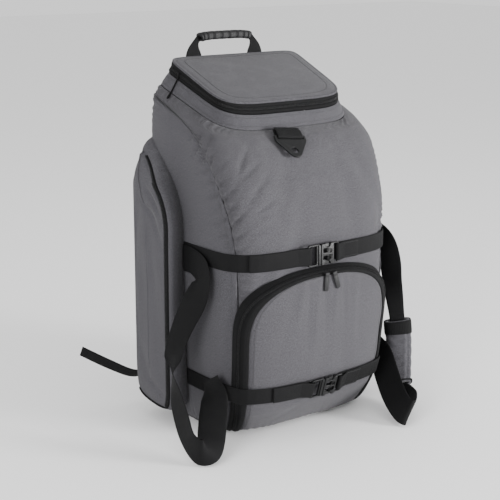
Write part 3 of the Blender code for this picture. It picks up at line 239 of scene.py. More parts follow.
def noise(tree, place, scale, detail, **more):
    wires = {"Vector": place, "Scale": scale, "Detail": detail, **more}
    return node(tree, "ShaderNodeTexNoise", wires).outputs["Fac"]


# %% Floor and lamps
FLOOR_HALF, FLOOR_COLOUR, FLOOR_ROUGHNESS, WORLD_STRENGTH = 9, (0.92, 0.92, 0.92, 1), 0.9, 1.1
LAMPS = (
    ("key_lamp", (1.6, -2.4, 0.50), 0.9, 175, 0.14),
    ("left_lamp", (-2.5, -1.2, 0.9), 1.4, 62, 0.25),
    ("top_lamp", (0.0, 0.2, 2.6), 2.2, 10, 0.25),
)
floor = linked("floor", bpy.data.meshes.new("floor"))
floor.data.from_pydata([(x * FLOOR_HALF, y * FLOOR_HALF, 0) for x, y in ((-1, -1), (1, -1), (1, 1), (-1, 1))],
                       [], [(0, 1, 2, 3)])
floor_look = bpy.data.materials.new("pale_floor")
floor_look.use_nodes = True
wire(floor_look.node_tree, floor_look.node_tree.nodes["Principled BSDF"],
     {"Base Color": FLOOR_COLOUR, "Roughness": FLOOR_ROUGHNESS})
floor.data.materials.append(floor_look)
for name, place, size, power, aim_height in LAMPS:
    lamp = linked(name, bpy.data.lights.new(name, "AREA"))
    lamp.data.shape, lamp.data.size, lamp.data.energy = "DISK", size, power
    lamp.location = place
    aim = Vector(place) - Vector((0.0, 0.0, aim_height))
    lamp.rotation_euler = aim.to_track_quat("Z", "Y").to_euler()
world = bpy.data.worlds.new("studio")
world.use_nodes = True
wire(world.node_tree, world.node_tree.nodes["Background"],
     {"Color": (1.0, 1.0, 1.0, 1), "Strength": WORLD_STRENGTH})
bpy.context.scene.world = world
print("floor and", len(LAMPS), "lamps")

# %% [markdown]
# ## Finishes
# The cloth is a heather polyester: dark and light threads in a plain weave, so it needs a fine
# fleck and a small bump that follow the cloth, not the room. Each cloth piece carries a UV map
# measured in metres, and the patterns read that. Effects that several finishes share are node
# groups: the heather fleck, the weave, the wear on raised edges and the dust. The webbing finish
# draws its own ribs.

# %% Shared groups: woven bump, heather fleck, worn edges and dust
def group_use(tree, group, **inputs):
    made = node(tree, "ShaderNodeGroup", node_tree=group)
    return wire(tree, made, {name.replace("_", " "): value for name, value in inputs.items()}).outputs


def build_weave():
    """Over and under threads of a plain weave: a height that rises on each crossing."""
    pitches = ("Pitch Across", "Pitch Along")
    inputs = [("Place", "Vector"), *((pitch, "Float", 0.0008) for pitch in pitches)]
    tree, start, end = new_group("woven threads", inputs, [("Height", "Float")])
    place = node(tree, "ShaderNodeSeparateXYZ", {0: start["Place"]}).outputs
    waves = []
    for axis, pitch in enumerate(pitches):
        steps = maths(tree, "DIVIDE", place[axis], start[pitch])
        waves.append(maths(tree, "SINE", maths(tree, "MULTIPLY", steps, math.pi)))
    wire(tree, end, {"Height": maths(tree, "ABSOLUTE", maths(tree, "MULTIPLY", *waves))})
    return tree


def build_heather():
    """Light and dark threads mixed in the yarn, with a broad cloudy change over the cloth."""
    inputs = [("Place", "Vector"), ("Base", "Color", (0.16, 0.16, 0.175, 1)), ("Fleck", "Float", 0.35)]
    tree, start, end = new_group("heather fleck", inputs, [("Color", "Color"), ("Rough", "Float")])
    fine = [noise(tree, node(tree, "ShaderNodeMapping", {0: start["Place"], 3: stretch}).outputs[0], 1.0, 2.0)
            for stretch in ((640.0, 1700.0, 900.0), (1700.0, 560.0, 900.0))]
    cloud = noise(tree, start["Place"], 16.0, 3.0)
    spread = maths(tree, "MULTIPLY", maths(tree, "SUBTRACT", maths(tree, "ADD", *fine), 1.0), start["Fleck"])
    broad = maths(tree, "MULTIPLY", maths(tree, "SUBTRACT", cloud, 0.5), 0.16)
    shade = maths(tree, "ADD", maths(tree, "MULTIPLY", spread, 3.0), maths(tree, "ADD", broad, 1.0))
    colour = node(tree, "ShaderNodeVectorMath", {0: start["Base"], "Scale": shade}, operation="SCALE")
    wire(tree, end, {"Color": colour.outputs[0], "Rough": maths(tree, "MULTIPLY_ADD", cloud, 0.12, 0.80)})
    return tree


def build_mask(name, picks, amount, picked, scale, detail, patched):
    """A mask on the places that the geometry picks out, broken into patches by noise."""
    inputs = [("Place", "Vector"), ("Amount", "Float", amount)]
    tree, start, end = new_group(name, inputs, [("Mask", "Float")])
    shape = node(tree, "ShaderNodeNewGeometry").outputs
    value = shape[picks]
    if picks == "Normal":
        value = node(tree, "ShaderNodeSeparateXYZ", {0: value}).outputs[2]
    patches = noise(tree, start["Place"], scale, detail)
    parts = [node(tree, "ShaderNodeMapRange", {0: source, 1: low, 2: high}).outputs[0]
             for source, (low, high) in ((value, picked), (patches, patched))]
    wire(tree, end, {"Mask": maths(tree, "MULTIPLY", maths(tree, "MULTIPLY", *parts), start["Amount"])})
    return tree


WEAVE, HEATHER = build_weave(), build_heather()
WEAR = build_mask("rubbed edges", "Pointiness", 0.5, (0.52, 0.62), 140.0, 4.0, (0.40, 0.65))
DUST = build_mask("light dust", "Normal", 0.2, (-0.2, 1.0), 60.0, 5.0, (0.45, 0.75))
print("groups:", [g.name for g in (WEAVE, HEATHER, WEAR, DUST)])


# %% Cloth, webbing, zip and plastic
def finish_start(name):
    made = bpy.data.materials.new(name)
    made.use_nodes = True
    tree = made.node_tree
    return made, tree, tree.nodes["Principled BSDF"], node(tree, "ShaderNodeTexCoord").outputs["Object"]


def cloth_map(tree):
    """The piece's own UV map, in metres."""
    return node(tree, "ShaderNodeUVMap", uv_map="cloth").outputs[0]


def relief_of(tree, strength, distance, height):
    wires = {"Strength": strength, "Distance": distance, "Height": height}
    return node(tree, "ShaderNodeBump", wires).outputs[0]


def tinted(base, factor=1.0):
    return (*(factor * c for c in base), 1)


def aged(tree, colour, solid, *layers):
    """The colour under layers of dust and wear: each row gives a group, its amount and its colour."""
    for group, amount, top in layers:
        colour = mixed(tree, group_use(tree, group, Place=solid, Amount=amount)["Mask"], colour, tinted(top))
    return colour


def cloth_finish(name, base, fleck=0.62, pitch=0.0009, bump=0.30):
    """Heather cloth: flecked yarn, a mottled tone and a woven bump with some fuzz."""
    made, tree, shader, solid = finish_start(name)
    place = cloth_map(tree)
    yarn = group_use(tree, HEATHER, Place=place, Base=tinted(base), Fleck=fleck)
    mottle = noise(tree, place, 330.0, 5.0, Roughness=0.75)
    tone = mixed(tree, mottle, (0.45, 0.45, 0.45, 1), (1.55, 1.55, 1.55, 1))
    colour = aged(tree, mixed(tree, 1.0, yarn["Color"], tone, "MULTIPLY"), solid,
                  (DUST, 0.10, (0.16, 0.16, 0.165)), (WEAR, 0.25, (0.11, 0.11, 0.115)))
    height = group_use(tree, WEAVE, Place=place, Pitch_Across=pitch, Pitch_Along=pitch)["Height"]
    rise = maths(tree, "MULTIPLY_ADD", noise(tree, place, 420.0, 3.0), 0.6, height)
    wire(tree, shader, {"Base Color": colour, "Roughness": yarn["Rough"], "Sheen Weight": 0.08,
                        "Sheen Roughness": 0.5, "Specular IOR Level": 0.15,
                        "Normal": relief_of(tree, bump, 0.0004, rise)})
    return made


def webbing_finish(name, base, pitch=0.0016):
    """Black woven webbing: ribs that run along it, crossed by finer threads."""
    made, tree, shader, solid = finish_start(name)
    place = cloth_map(tree)
    across = node(tree, "ShaderNodeSeparateXYZ", {0: place}).outputs[0]
    ribs = maths(tree, "ABSOLUTE", maths(tree, "SINE", maths(tree, "MULTIPLY", across, math.pi / pitch)))
    threads = group_use(tree, WEAVE, Place=place, Pitch_Across=pitch / 2, Pitch_Along=pitch / 2)["Height"]
    cloud = noise(tree, solid, 45.0, 4.0)
    lift = maths(tree, "MULTIPLY_ADD", ribs, 0.45, maths(tree, "MULTIPLY", cloud, 0.5))
    colour = aged(tree, mixed(tree, lift, tinted(base), tinted(base, 2.3)), solid,
                  (DUST, 0.12, (0.014, 0.014, 0.014)), (WEAR, 0.45, (0.010, 0.010, 0.010)))
    rise = maths(tree, "MULTIPLY_ADD", threads, 0.5, ribs)
    wire(tree, shader, {"Base Color": colour, "Roughness": maths(tree, "MULTIPLY_ADD", cloud, 0.2, 0.62),
                        "Sheen Weight": 0.01, "Specular IOR Level": 0.12,
                        "Normal": relief_of(tree, 0.6, 0.0004, rise)})
    return made


def plastic_finish(name, base, roughness, grain=900.0):
    """Moulded plastic with a fine spark-eroded grain, rubbed lighter on its edges."""
    made, tree, shader, solid = finish_start(name)
    cloud, speck = noise(tree, solid, 70.0, 4.0), noise(tree, solid, grain, 2.0)
    colour = mixed(tree, maths(tree, "MULTIPLY", cloud, 0.5), tinted(base), tinted(base, 1.6))
    colour = aged(tree, colour, solid, (WEAR, 0.7, [min(2.4 * c, 0.5) for c in base]),
                  (DUST, 0.10, (0.03, 0.03, 0.03)))
    wire(tree, shader, {"Base Color": colour, "Specular IOR Level": 0.22,
                        "Roughness": maths(tree, "MULTIPLY_ADD", speck, 0.18, roughness - 0.09),
                        "Normal": relief_of(tree, 0.5, 0.00012, speck)})
    return made


def thread_finish(name, base):
    """Twisted sewing thread, from slanted waves."""
    made, tree, shader, solid = finish_start(name)
    twist = node(tree, "ShaderNodeTexWave", {"Vector": solid, "Scale": 900.0, "Distortion": 1.5},
                 bands_direction="DIAGONAL").outputs["Fac"]
    wire(tree, shader, {"Base Color": mixed(tree, twist, tinted(base, 0.6), tinted(base)), "Roughness": 0.55,
                        "Normal": relief_of(tree, 0.5, 0.0001, twist)})
    return made


GREY = cloth_finish("heather_grey", (0.0490, 0.0476, 0.0532))
# The front wall and the flap wear a copy of the same heather grey, a touch darker: painted shade that holds
# down the front where the key lamp falls on it.
FRONT_GREY_PAINTED_SHADE = cloth_finish("heather_grey_front_painted_shade", (0.0490, 0.0474, 0.0526))
MESH_PAD = cloth_finish("spacer_pad", (0.040, 0.039, 0.043), fleck=0.25, pitch=0.0022, bump=0.8)
WEBBING = webbing_finish("black_webbing", (0.0022, 0.0022, 0.0024))
TAPE = webbing_finish("zip_tape", (0.0019, 0.0019, 0.0021), pitch=0.0009)
COIL = plastic_finish("zip_coil", (0.0070, 0.0070, 0.0074), 0.38)
HARD = plastic_finish("buckle_plastic", (0.0030, 0.0031, 0.0034), 0.46)
RUBBER = plastic_finish("ribbed_rubber", (0.0060, 0.0060, 0.0066), 0.60, grain=1600.0)
THREAD = thread_finish("grey_thread", (0.045, 0.044, 0.048))
DARK_THREAD = thread_finish("black_thread", (0.008, 0.008, 0.009))
print("finishes:", len(bpy.data.materials))

# %% [markdown]
# ## From grids to cloth
# Every cloth panel is a grid of points on the skin. Three small things make a grid look sewn:
# its border dips into the seam, the cloth gathers in short puckers beside the seam, and broad
# soft dents cross it. Then a second grid, one cloth thickness inside, closes it to a solid shell.

# %% Cloth panels
CLOTH_THICK, BORDER_DIP, BORDER_ROLL = 0.0016, 0.0011, 0.0035
GATHER_PITCH, GATHER_REACH, WAVES = 0.011, 0.014, 7


def plain_mesh(name, points, faces=()):
    mesh = bpy.data.meshes.new(name)
    mesh.from_pydata(np.asarray(points, float).tolist(), [], [tuple(map(int, f)) for f in faces])
    return mesh


def mesh_object(name, points, faces, look, uvs=None):
    """A closed mesh object with outward faces, smooth shading and a UV map in metres."""
    mesh = plain_mesh(name, points, faces)
    if uvs is not None:
        layer = mesh.uv_layers.new(name="cloth")
        order = np.empty(len(mesh.loops), dtype=np.int32)
        mesh.loops.foreach_get("vertex_index", order)
        layer.data.foreach_set("uv", np.asarray(uvs, np.float32)[order].ravel())
    work = bmesh.new()
    work.from_mesh(mesh)
    bmesh.ops.recalc_face_normals(work, faces=work.faces)
    if work.calc_volume(signed=True) < 0:
        bmesh.ops.reverse_faces(work, faces=work.faces)
    work.to_mesh(mesh)
    work.free()
    mesh.shade_smooth()
    mesh.materials.append(look)
    return linked(name, mesh)


def grid_quads(rows, columns, start=0, wrap=False, flip=False):
    i, j = np.meshgrid(np.arange(rows - 1), np.arange(columns if wrap else columns - 1), indexing="ij")
    k = (j + 1) % columns
    quads = np.stack((i * columns + j, i * columns + k, (i + 1) * columns + k, (i + 1) * columns + j), -1)
    quads = quads.reshape(-1, 4) + start
    return quads[:, ::-1] if flip else quads


def grid_normals(grid, wrap=False):
    along = np.gradient(grid, axis=0)
    across = (np.roll(grid, -1, 1) - np.roll(grid, 1, 1)) if wrap else np.gradient(grid, axis=1)
    return unit(np.cross(across, along))


def lengths_along(grid, axis):
    total = np.cumsum(np.linalg.norm(np.diff(grid, axis=axis), axis=-1), axis=axis)
    return np.pad(total, [(1, 0) if n == axis else (0, 0) for n in range(2)])


def shell_faces(rows, columns, wrap=False):
    """Quads of two grids, one inside the other, joined along their rims. A wrapped grid is a tube."""
    base, last = rows * columns, (rows - 1) * columns
    j = np.arange(columns if wrap else columns - 1)
    k = (j + 1) % columns
    faces = [grid_quads(rows, columns, 0, wrap), grid_quads(rows, columns, base, wrap, flip=True),
             np.stack((j, base + j, base + k, k), -1),
             np.stack((last + k, base + last + k, base + last + j, last + j), -1)]
    if not wrap:
        i = np.arange(rows - 1)
        for edge, turned in ((0, False), (columns - 1, True)):
            a, b = i * columns + edge, (i + 1) * columns + edge
            quads = np.stack((a, b, base + b, base + a), -1)
            faces.append(quads[:, ::-1] if turned else quads)
    return np.concatenate(faces)


def tube_faces(rows, count):
    """Faces of a closed tube of rings, with a flat cap on both ends."""
    return [*grid_quads(rows, count, 0, True), range(count)[::-1], range((rows - 1) * count, rows * count)]


def doubled(first, second):
    return np.concatenate((first.reshape(-1, first.shape[-1]), second.reshape(-1, second.shape[-1])))


def shell(name, outer, look, thickness, normals):
    """A closed cloth shell from its outer grid, its rim joined to a grid one thickness inside."""
    uv = np.stack((lengths_along(outer, 1), lengths_along(outer, 0)), -1)
    points = doubled(outer, outer - normals * thickness)
    return mesh_object(name, points, shell_faces(*outer.shape[:2]), look, doubled(uv, uv))


def creases(across, level, table):
    """Folds and dents: each row gives place, level, slant, half length, half width and depth."""
    total = np.zeros(np.broadcast(across, level).shape)
    for place, height, slant, length, width, depth in table:
        a = math.radians(slant)
        ds, dz = across - place, level - height
        along, over = ds * math.cos(a) + dz * math.sin(a), dz * math.cos(a) - ds * math.sin(a)
        total = total + depth * np.exp(-(along / length)**2 - (over / width)**2)
    return total


def soft_waves(across, level, depth, size, seed):
    """Slow uneven swelling of the cloth, from a few sine waves with fixed random directions."""
    random = np.random.default_rng(seed)
    total = np.zeros(np.broadcast(across, level).shape)
    for _ in range(WAVES):
        turn, phase = random.uniform(0, math.pi), random.uniform(0, 2 * math.pi)
        length = size * random.uniform(0.6, 1.8)
        run = across * math.cos(turn) + level * math.sin(turn)
        total = total + np.sin(2 * math.pi * run / length + phase)
    return depth * total / WAVES


def border(grid, sides, dip=BORDER_DIP, roll=BORDER_ROLL, pucker=0.0005, seed=1):
    """How far each point sinks: into the seam at the named borders, with gathers beside it."""
    random = np.random.default_rng(seed)
    total = np.zeros(grid.shape[:2])
    for side in sides:
        axis = 0 if side in ("first_row", "last_row") else 1
        run = lengths_along(grid, axis)
        away = run if side.startswith("first") else (run[-1:, :] if axis == 0 else run[:, -1:]) - run
        along = lengths_along(grid, 1 - axis)
        wander = random.uniform(0, 2 * math.pi, 3)
        sway = 1.3 * np.sin(along / GATHER_PITCH * 1.7 + wander[0])
        strength = 0.55 + 0.45 * np.sin(along / GATHER_PITCH * 0.61 + wander[1])
        ripple = np.sin(2 * math.pi * along / GATHER_PITCH + sway) * strength
        at_seam = bell(away, 0, roll)
        total = total - dip * at_seam
        total = total + pucker * ripple * np.exp(-away / GATHER_REACH) * (1 - at_seam)
    return total


def ride_on(piece, slot_name, *nodes, fill=None):
    """The last step of every piece: it rides with the bag and stands for its CAD solids."""
    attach(piece, "root")
    if nodes:
        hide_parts(*nodes)
    piece.data.update()
    return piece


ALL_SIDES = ("first_row", "last_row", "first_column", "last_column")
WALLS = {}
print("cloth tools ready")

# %% [markdown]
# ## The body's five walls
# The front wall wraps from side seam to side seam and runs up under the lid. On the real bag the
# side seams climb from the bottom corners, lean back over the shoulder and meet the back seam, so
# each side wall is a tall leaf. The rows are packed closely where the seam leans over, because it
# moves fastest there.

# %% Wall grids
def seam_turn(height):
    return np.radians(smooth_value(SIDE_SEAM[:, 0], SIDE_SEAM[:, 1], height))


def spaced(*runs):
    """Heights with a chosen number of steps in each run: (start, end, steps), then the last end."""
    parts = [np.linspace(start, end, steps, endpoint=False) for start, end, steps in runs]
    return np.concatenate(parts + [[runs[-1][1]]])


def wall(name, heights, start, end, columns, look, slot_name, folds, swell, seed, size=0.16, pucker=0.0005):
    """One wall: its grid on the skin between two seams, with borders, folds and soft swelling."""
    heights = np.asarray(heights)[:, None]
    first, last = start(heights), end(heights)
    turns = first + (last - first) * np.linspace(0, 1, columns + 1)[None, :]
    grid, normals = body_skin(turns, heights), body_normal(turns, heights)
    level, across = grid[..., 2], (turns - FRONT) * HALF_WIDTH
    lift = border(grid, ALL_SIDES, seed=seed, pucker=pucker)
    lift = lift + creases(across, level, folds)
    lift = lift + soft_waves(across, level, swell, size, seed)
    outer = grid + normals * (lift + WALL_LIFT)[..., None]
    along, over = unit(np.gradient(outer, axis=0)), unit(np.gradient(outer, axis=1))
    outer[0] += along[0] * WALL_GAP
    outer[-1] -= along[-1] * WALL_GAP
    outer[:, 0] += over[:, 0] * WALL_GAP
    outer[:, -1] -= over[:, -1] * WALL_GAP
    WALLS[name] = (outer, normals)
    return ride_on(shell(name, outer, look, CLOTH_THICK, normals), slot_name, name)


def other_side(turn):
    return 3 * math.pi - turn


def seam_gathers(levels, away, slant, length, depth):
    """Short slanted creases in a row beside the left side seam, one for each level."""
    heights = np.linspace(0.30, 0.91, 120)
    turns = seam_turn(heights)
    seam_level, seam_across = body_skin(turns, heights)[..., 2], (turns - FRONT) * HALF_WIDTH
    order = np.argsort(seam_level)
    places = np.interp(levels, seam_level[order], seam_across[order])
    return tuple((place + away, level, slant + 9 * math.sin(5 * n), length * (1 + 0.35 * math.sin(3 * n)),
                  0.0026, depth * (1 + 0.3 * math.cos(4 * n)))
                 for n, (place, level) in enumerate(zip(places, levels)))


BACK_TURN = math.radians(BACK_SEAM)
WALL_LIFT, WALL_GAP = 0.0002, 0.0005
GATHER_LEVELS = (0.268, 0.288, 0.306, 0.325, 0.343, 0.359, 0.376, 0.391, 0.406, 0.420, 0.433)
FRONT_FOLDS = (
    (-0.104, 0.405, 60, 0.020, 0.0038, -0.0030), (-0.098, 0.392, 35, 0.018, 0.0034, -0.0027),
    (-0.090, 0.370, 48, 0.022, 0.0043, -0.0029), (-0.086, 0.345, 30, 0.018, 0.0036, -0.0027),
    (-0.094, 0.330, 20, 0.015, 0.0034, -0.0025), (-0.096, 0.312, 12, 0.016, 0.0032, -0.0025),
    (-0.100, 0.290, 25, 0.014, 0.0031, -0.0023), (-0.060, 0.360, 70, 0.050, 0.0140, -0.0034),
    (-0.040, 0.300, 82, 0.060, 0.0160, -0.0027), (0.050, 0.330, 100, 0.060, 0.0150, -0.0027),
    (0.086, 0.360, 115, 0.040, 0.0100, -0.0027), (-0.075, 0.250, 75, 0.050, 0.0100, 0.0030),
    (0.000, 0.285, 4, 0.110, 0.0080, -0.0027), (-0.108, 0.220, 85, 0.060, 0.0090, 0.0025),
    (-0.020, 0.390, 8, 0.060, 0.0120, -0.0019), (0.030, 0.025, 3, 0.100, 0.0100, 0.0023),
    (0.110, 0.290, 95, 0.040, 0.0080, -0.0027), (0.115, 0.200, 88, 0.060, 0.0080, -0.0019),
)
FRONT_FOLDS += seam_gathers(GATHER_LEVELS, 0.011, 42, 0.014, -0.0032)
FRONT_HEIGHTS = spaced((0.0, 0.10, 22), (0.10, 0.80, 132), (0.80, 0.925, 46), (0.925, COLLAR_ROW, 5))
# The front wall takes the darker copy of the grey cloth: painted shade on the lamp-lit front.
front_panel = wall("front_panel", FRONT_HEIGHTS, seam_turn, lambda h: other_side(seam_turn(h)), 190,
                   FRONT_GREY_PAINTED_SHADE, "front_cloth", FRONT_FOLDS, swell=0.0022, seed=5, pucker=0.0024)
print("front_panel:", len(front_panel.data.polygons), "faces")

# %% Side walls and back wall
SIDE_FOLDS = (
    (-0.150, 0.430, 40, 0.030, 0.0051, -0.0027), (-0.170, 0.450, 55, 0.030, 0.0070, -0.0027),
    (-0.135, 0.405, 25, 0.020, 0.0043, -0.0025), (-0.130, 0.300, 80, 0.060, 0.0080, -0.0023),
    (-0.136, 0.160, 88, 0.070, 0.0080, -0.0023), (-0.128, 0.220, 70, 0.030, 0.0051, 0.0023),
    (-0.310, 0.420, 90, 0.060, 0.0450, 0.0050), (-0.300, 0.250, 90, 0.140, 0.0450, 0.0020),
)
SIDE_FOLDS += seam_gathers(GATHER_LEVELS, -0.012, 22, 0.016, -0.0032)
SIDE_HEIGHTS = spaced((0.0, 0.10, 20), (0.10, 0.80, 112), (0.80, 0.918, 42))
sides = []
for name, start, end, folds in (
        ("side_panel_left", lambda h: BACK_TURN + 0 * h, seam_turn, SIDE_FOLDS),
        ("side_panel_right", lambda h: other_side(seam_turn(h)), lambda h: other_side(BACK_TURN) + 0 * h,
         tuple((-a, b, 180 - c, d, e, f) for a, b, c, d, e, f in SIDE_FOLDS))):
    sides.append(wall(name, SIDE_HEIGHTS, start, end, 72, GREY, "grey_cloth", folds,
                      swell=0.0022, seed=9, pucker=0.0022))
back_panel = wall("back_panel", spaced((0.0, 0.10, 14), (0.10, 0.90, 56), (0.90, LID_ROW, 12)),
                  lambda h: other_side(BACK_TURN) - 2 * math.pi + 0 * h, lambda h: BACK_TURN + 0 * h, 74,
                  GREY, "grey_cloth", (), swell=0.0012, seed=12)
collar = wall("collar_band", spaced((COLLAR_ROW, ZIP_ROW, 12)), lambda h: BACK_TURN + 0 * h,
              lambda h: other_side(BACK_TURN) + 0 * h, 170, GREY, "grey_cloth", (),
              swell=0.0006, size=0.06, seed=15, pucker=0.0004)
print("walls:", [piece.name for piece in (*sides, back_panel, collar)])

# %% [markdown]
# ## Bottom and lid
# The bottom is one flat padded piece that the walls are sewn to. The lid is a second padded piece
# under a shallow dome. Its rim is a rolled seam on the zip tape, so the dome starts with a small
# round lip. Both are discs of rings: each ring is the body's own section drawn in toward the
# middle, which keeps the corner shape right up to the centre.

# %% Discs of rings
def ring_section(height, count):
    return body_skin(full_turn(count), np.full(count, float(height)))


def disc(name, rings, thickness, facing):
    """A closed disc from rings, outermost first, whose last ring is filled by a fan."""
    rings = np.asarray(rings)
    rows, count = rings.shape[:2]
    inner = rings - np.asarray(facing) * thickness
    points = np.concatenate((doubled(rings, inner), [rings[-1].mean(0), inner[-1].mean(0)]))
    base, last = rows * count, (rows - 1) * count
    faces = [*grid_quads(rows, count, 0, True), *grid_quads(rows, count, base, True, flip=True)]
    for j in range(count):
        k = (j + 1) % count
        faces += [(j, base + j, base + k, k), (last + j, last + k, 2 * base),
                  (base + last + k, base + last + j, 2 * base + 1)]
    return ride_on(mesh_object(name, points, faces, GREY, points[:, :2]), "grey_cloth", name)


BOTTOM_RINGS = ((1.0, 0.0), (0.999, -0.0016), (0.990, -0.0028), (0.97, -0.0031), (0.8, -0.0031),
                (0.5, -0.0031), (0.2, -0.0031))
foot_ring = ring_section(0.0, 160)
foot_middle = foot_ring.mean(0)
bottom_rings = []
for share, drop in BOTTOM_RINGS:
    ring = foot_middle + (foot_ring - foot_middle) * share
    ring[:, 2] = BASE + drop
    bottom_rings.append(ring)
disc("bottom_panel", bottom_rings, -0.0006, (0.0, 0.0, 1.0))

LID_COUNT, LID_RISE, LID_DOME = 200, 0.0022, 0.0036
LID_LIP = {1.0: 0.0004, 1.0035: 0.0012, 1.002: 0.0021, 0.992: 0.0026, 0.980: 0.0020, 0.968: 0.0019}
lid_ring = ring_section(LID_ROW, LID_COUNT)
lid_middle = lid_ring.mean(0)
lid_slope = unit(lid_ring[LID_COUNT // 4] - lid_ring[3 * LID_COUNT // 4])
lid_up = unit(np.cross((1.0, 0.0, 0.0), lid_slope))
lid_rings = []
for share in (*LID_LIP, 0.955, *np.linspace(0.93, 0.05, 40)):
    rise = LID_LIP.get(share, LID_RISE + LID_DOME * (1 - share**2))
    ring = lid_middle + (lid_ring - lid_middle) * share
    dents = soft_waves(ring[:, 0], ring[:, 1], 0.0009 * (share < 0.95), 0.09, 21)
    lid_rings.append(ring + lid_up * (rise + dents)[:, None])
disc("lid_panel", lid_rings, 0.0014, lid_up)
print("lid dome:", round(float(lid_rings[-1][0, 2]), 4), "m up")

# %% [markdown]
# ## Zips
# A zip is a woven tape, a coil of nylon sewn down its middle and a slider. Here the tape is a
# cloth shell like the others. The coil is hundreds of small loops along a path, which is work for
# Geometry Nodes: one bent loop is copied on to every point of the path, turned along it and out of
# the cloth. The same tree sets the stitches.

# %% A tree that sets small pieces along a path
def build_setter():
    """Copies one small piece on to every point, X along the path and Z out of the surface."""
    tree, start, end = new_group("set along a path", [("Geometry", "Geometry"), ("Piece", "Object"),
                                                      ("Finish", "Material")],
                                 [("Geometry", "Geometry")], "GeometryNodeTree")
    facing, along = (node(tree, "GeometryNodeInputNamedAttribute", {0: name}, data_type="FLOAT_VECTOR")
                     .outputs[0] for name in ("facing", "along"))
    upright = node(tree, "FunctionNodeAlignRotationToVector", {"Vector": facing}, axis="Z")
    turned = node(tree, "FunctionNodeAlignRotationToVector",
                  {"Rotation": upright.outputs[0], "Vector": along}, axis="X", pivot_axis="Z")
    piece = node(tree, "GeometryNodeObjectInfo", {"Object": start["Piece"]})
    copies = node(tree, "GeometryNodeInstanceOnPoints",
                  {"Points": start["Geometry"], "Instance": piece.outputs["Geometry"],
                   "Rotation": turned.outputs[0]})
    real = node(tree, "GeometryNodeRealizeInstances", {0: copies.outputs[0]})
    finish = node(tree, "GeometryNodeSetMaterial", {0: real.outputs[0], "Material": start["Finish"]})
    wire(tree, end, {0: finish.outputs[0]})
    return tree


SETTER = build_setter()


def evaluated_mesh(host):
    depsgraph = bpy.context.evaluated_depsgraph_get()
    return bpy.data.meshes.new_from_object(host.evaluated_get(depsgraph), depsgraph=depsgraph)


def interpolated(at, places, values):
    return np.stack([np.interp(at, places, values[:, i]) for i in range(3)], -1)


def resampled(points, normals, pitch):
    """Points a pitch apart along a line, with the surface normals turned along."""
    run = run_along(points)
    count = max(int(round(run[-1] / pitch)), 2)
    at = np.linspace(0, run[-1], count + 1)
    return interpolated(at, run, points), unit(interpolated(at, run, normals))


def set_along(name, lines, piece, pitch, finish, slot_name):
    """One mesh of small pieces set along one or more lines of (points, normals)."""
    spots = [resampled(points, normals, pitch) for points, normals in lines]
    points = np.concatenate([points for points, _ in spots])
    host = linked(name + "_spots", plain_mesh(name + "_spots", points))
    for title, vectors in (("facing", [normals for _, normals in spots]),
                           ("along", [unit(np.gradient(points, axis=0)) for points, _ in spots])):
        stored = host.data.attributes.new(title, "FLOAT_VECTOR", "POINT")
        stored.data.foreach_set("vector", np.concatenate(vectors).astype(np.float32).ravel())
    modifier = host.modifiers.new("set", "NODES")
    modifier.node_group = SETTER
    for item in SETTER.interface.items_tree:
        if item.in_out == "INPUT" and item.name in ("Piece", "Finish"):
            modifier[item.identifier] = piece if item.name == "Piece" else finish
    mesh = evaluated_mesh(host)
    bpy.data.objects.remove(host)
    mesh.name = name
    return ride_on(linked(name, mesh), slot_name)


def on_cloth(grid, normals, pick, lift=0.0001):
    return grid[pick] + normals[pick] * lift, normals[pick]


def small_piece(name, line, radius, sides=5):
    """A thin closed tube along a short line, as a master piece that the tree copies."""
    line = np.asarray(line, float)
    along = unit(np.gradient(line, axis=0))
    side = unit(np.cross(along, (0.0, 0.0, 1.0)) + 1e-9)
    turns = full_turn(sides)
    points = np.concatenate([p + radius * (np.cos(turns)[:, None] * s + np.sin(turns)[:, None] * u)
                             for p, s, u in zip(line, side, np.cross(side, along))])
    mesh = plain_mesh(name, points, tube_faces(len(line), sides))
    mesh.shade_smooth()
    return bpy.data.objects.new(name, mesh)


COIL_PITCH, COIL_SHARE, STITCH_HALF = 0.0017, 0.52, 0.0013
loop_line = [(0.0006 * math.sin(a * 0.5), 0.0021 * math.cos(a), 0.0008 * math.sin(a) + 0.0002)
             for a in np.linspace(0.1, math.pi - 0.1, 7)]
tooth = small_piece("coil_loop", loop_line, 0.00042)
stitch = small_piece("stitch", [(x, 0.0, 0.00028 * (1 - (x / STITCH_HALF)**2) - 0.0001)
                                for x in np.linspace(-STITCH_HALF, STITCH_HALF, 5)], 0.00026)


def coil_along(name, grid, normals, pick, lift):
    return set_along(name, [on_cloth(grid, normals, pick, lift)], tooth, COIL_PITCH, COIL, "zip_tape")


print("setter tree and two small pieces")

# %% The lid's zip
ZIP_HEIGHTS = spaced((ZIP_ROW, LID_ROW, 22))
zip_turns = np.linspace(BACK_TURN, other_side(BACK_TURN), 201)[None, :]
zip_normals = body_normal(zip_turns, ZIP_HEIGHTS[:, None])
zip_share = np.linspace(0, 1, len(ZIP_HEIGHTS))[:, None]
zip_lift = (0.0006 * bell(zip_share, 0.18, 0.10) + 0.0004 * bell(zip_share, 0.85, 0.08)
            - 0.0010 * bell(zip_share, 0.0, 0.06) - 0.0006 * bell(zip_share, COIL_SHARE, 0.10))
zip_outer = body_skin(zip_turns, ZIP_HEIGHTS[:, None]) + zip_normals * zip_lift[..., None]
rise = unit(np.gradient(zip_outer, axis=0))
zip_outer[0] += rise[0] * 0.0004
zip_outer[-1] -= rise[-1] * 0.0004
ride_on(shell("lid_zip", zip_outer, TAPE, 0.0014, zip_normals), "zip_tape", "lid_zip")
coil_row = int(COIL_SHARE * (len(ZIP_HEIGHTS) - 1))
lid_coil = coil_along("lid_zip_coil", zip_outer, zip_normals, (coil_row, slice(3, -3)), 0.0004)
print("lid coil:", len(lid_coil.data.polygons), "faces")

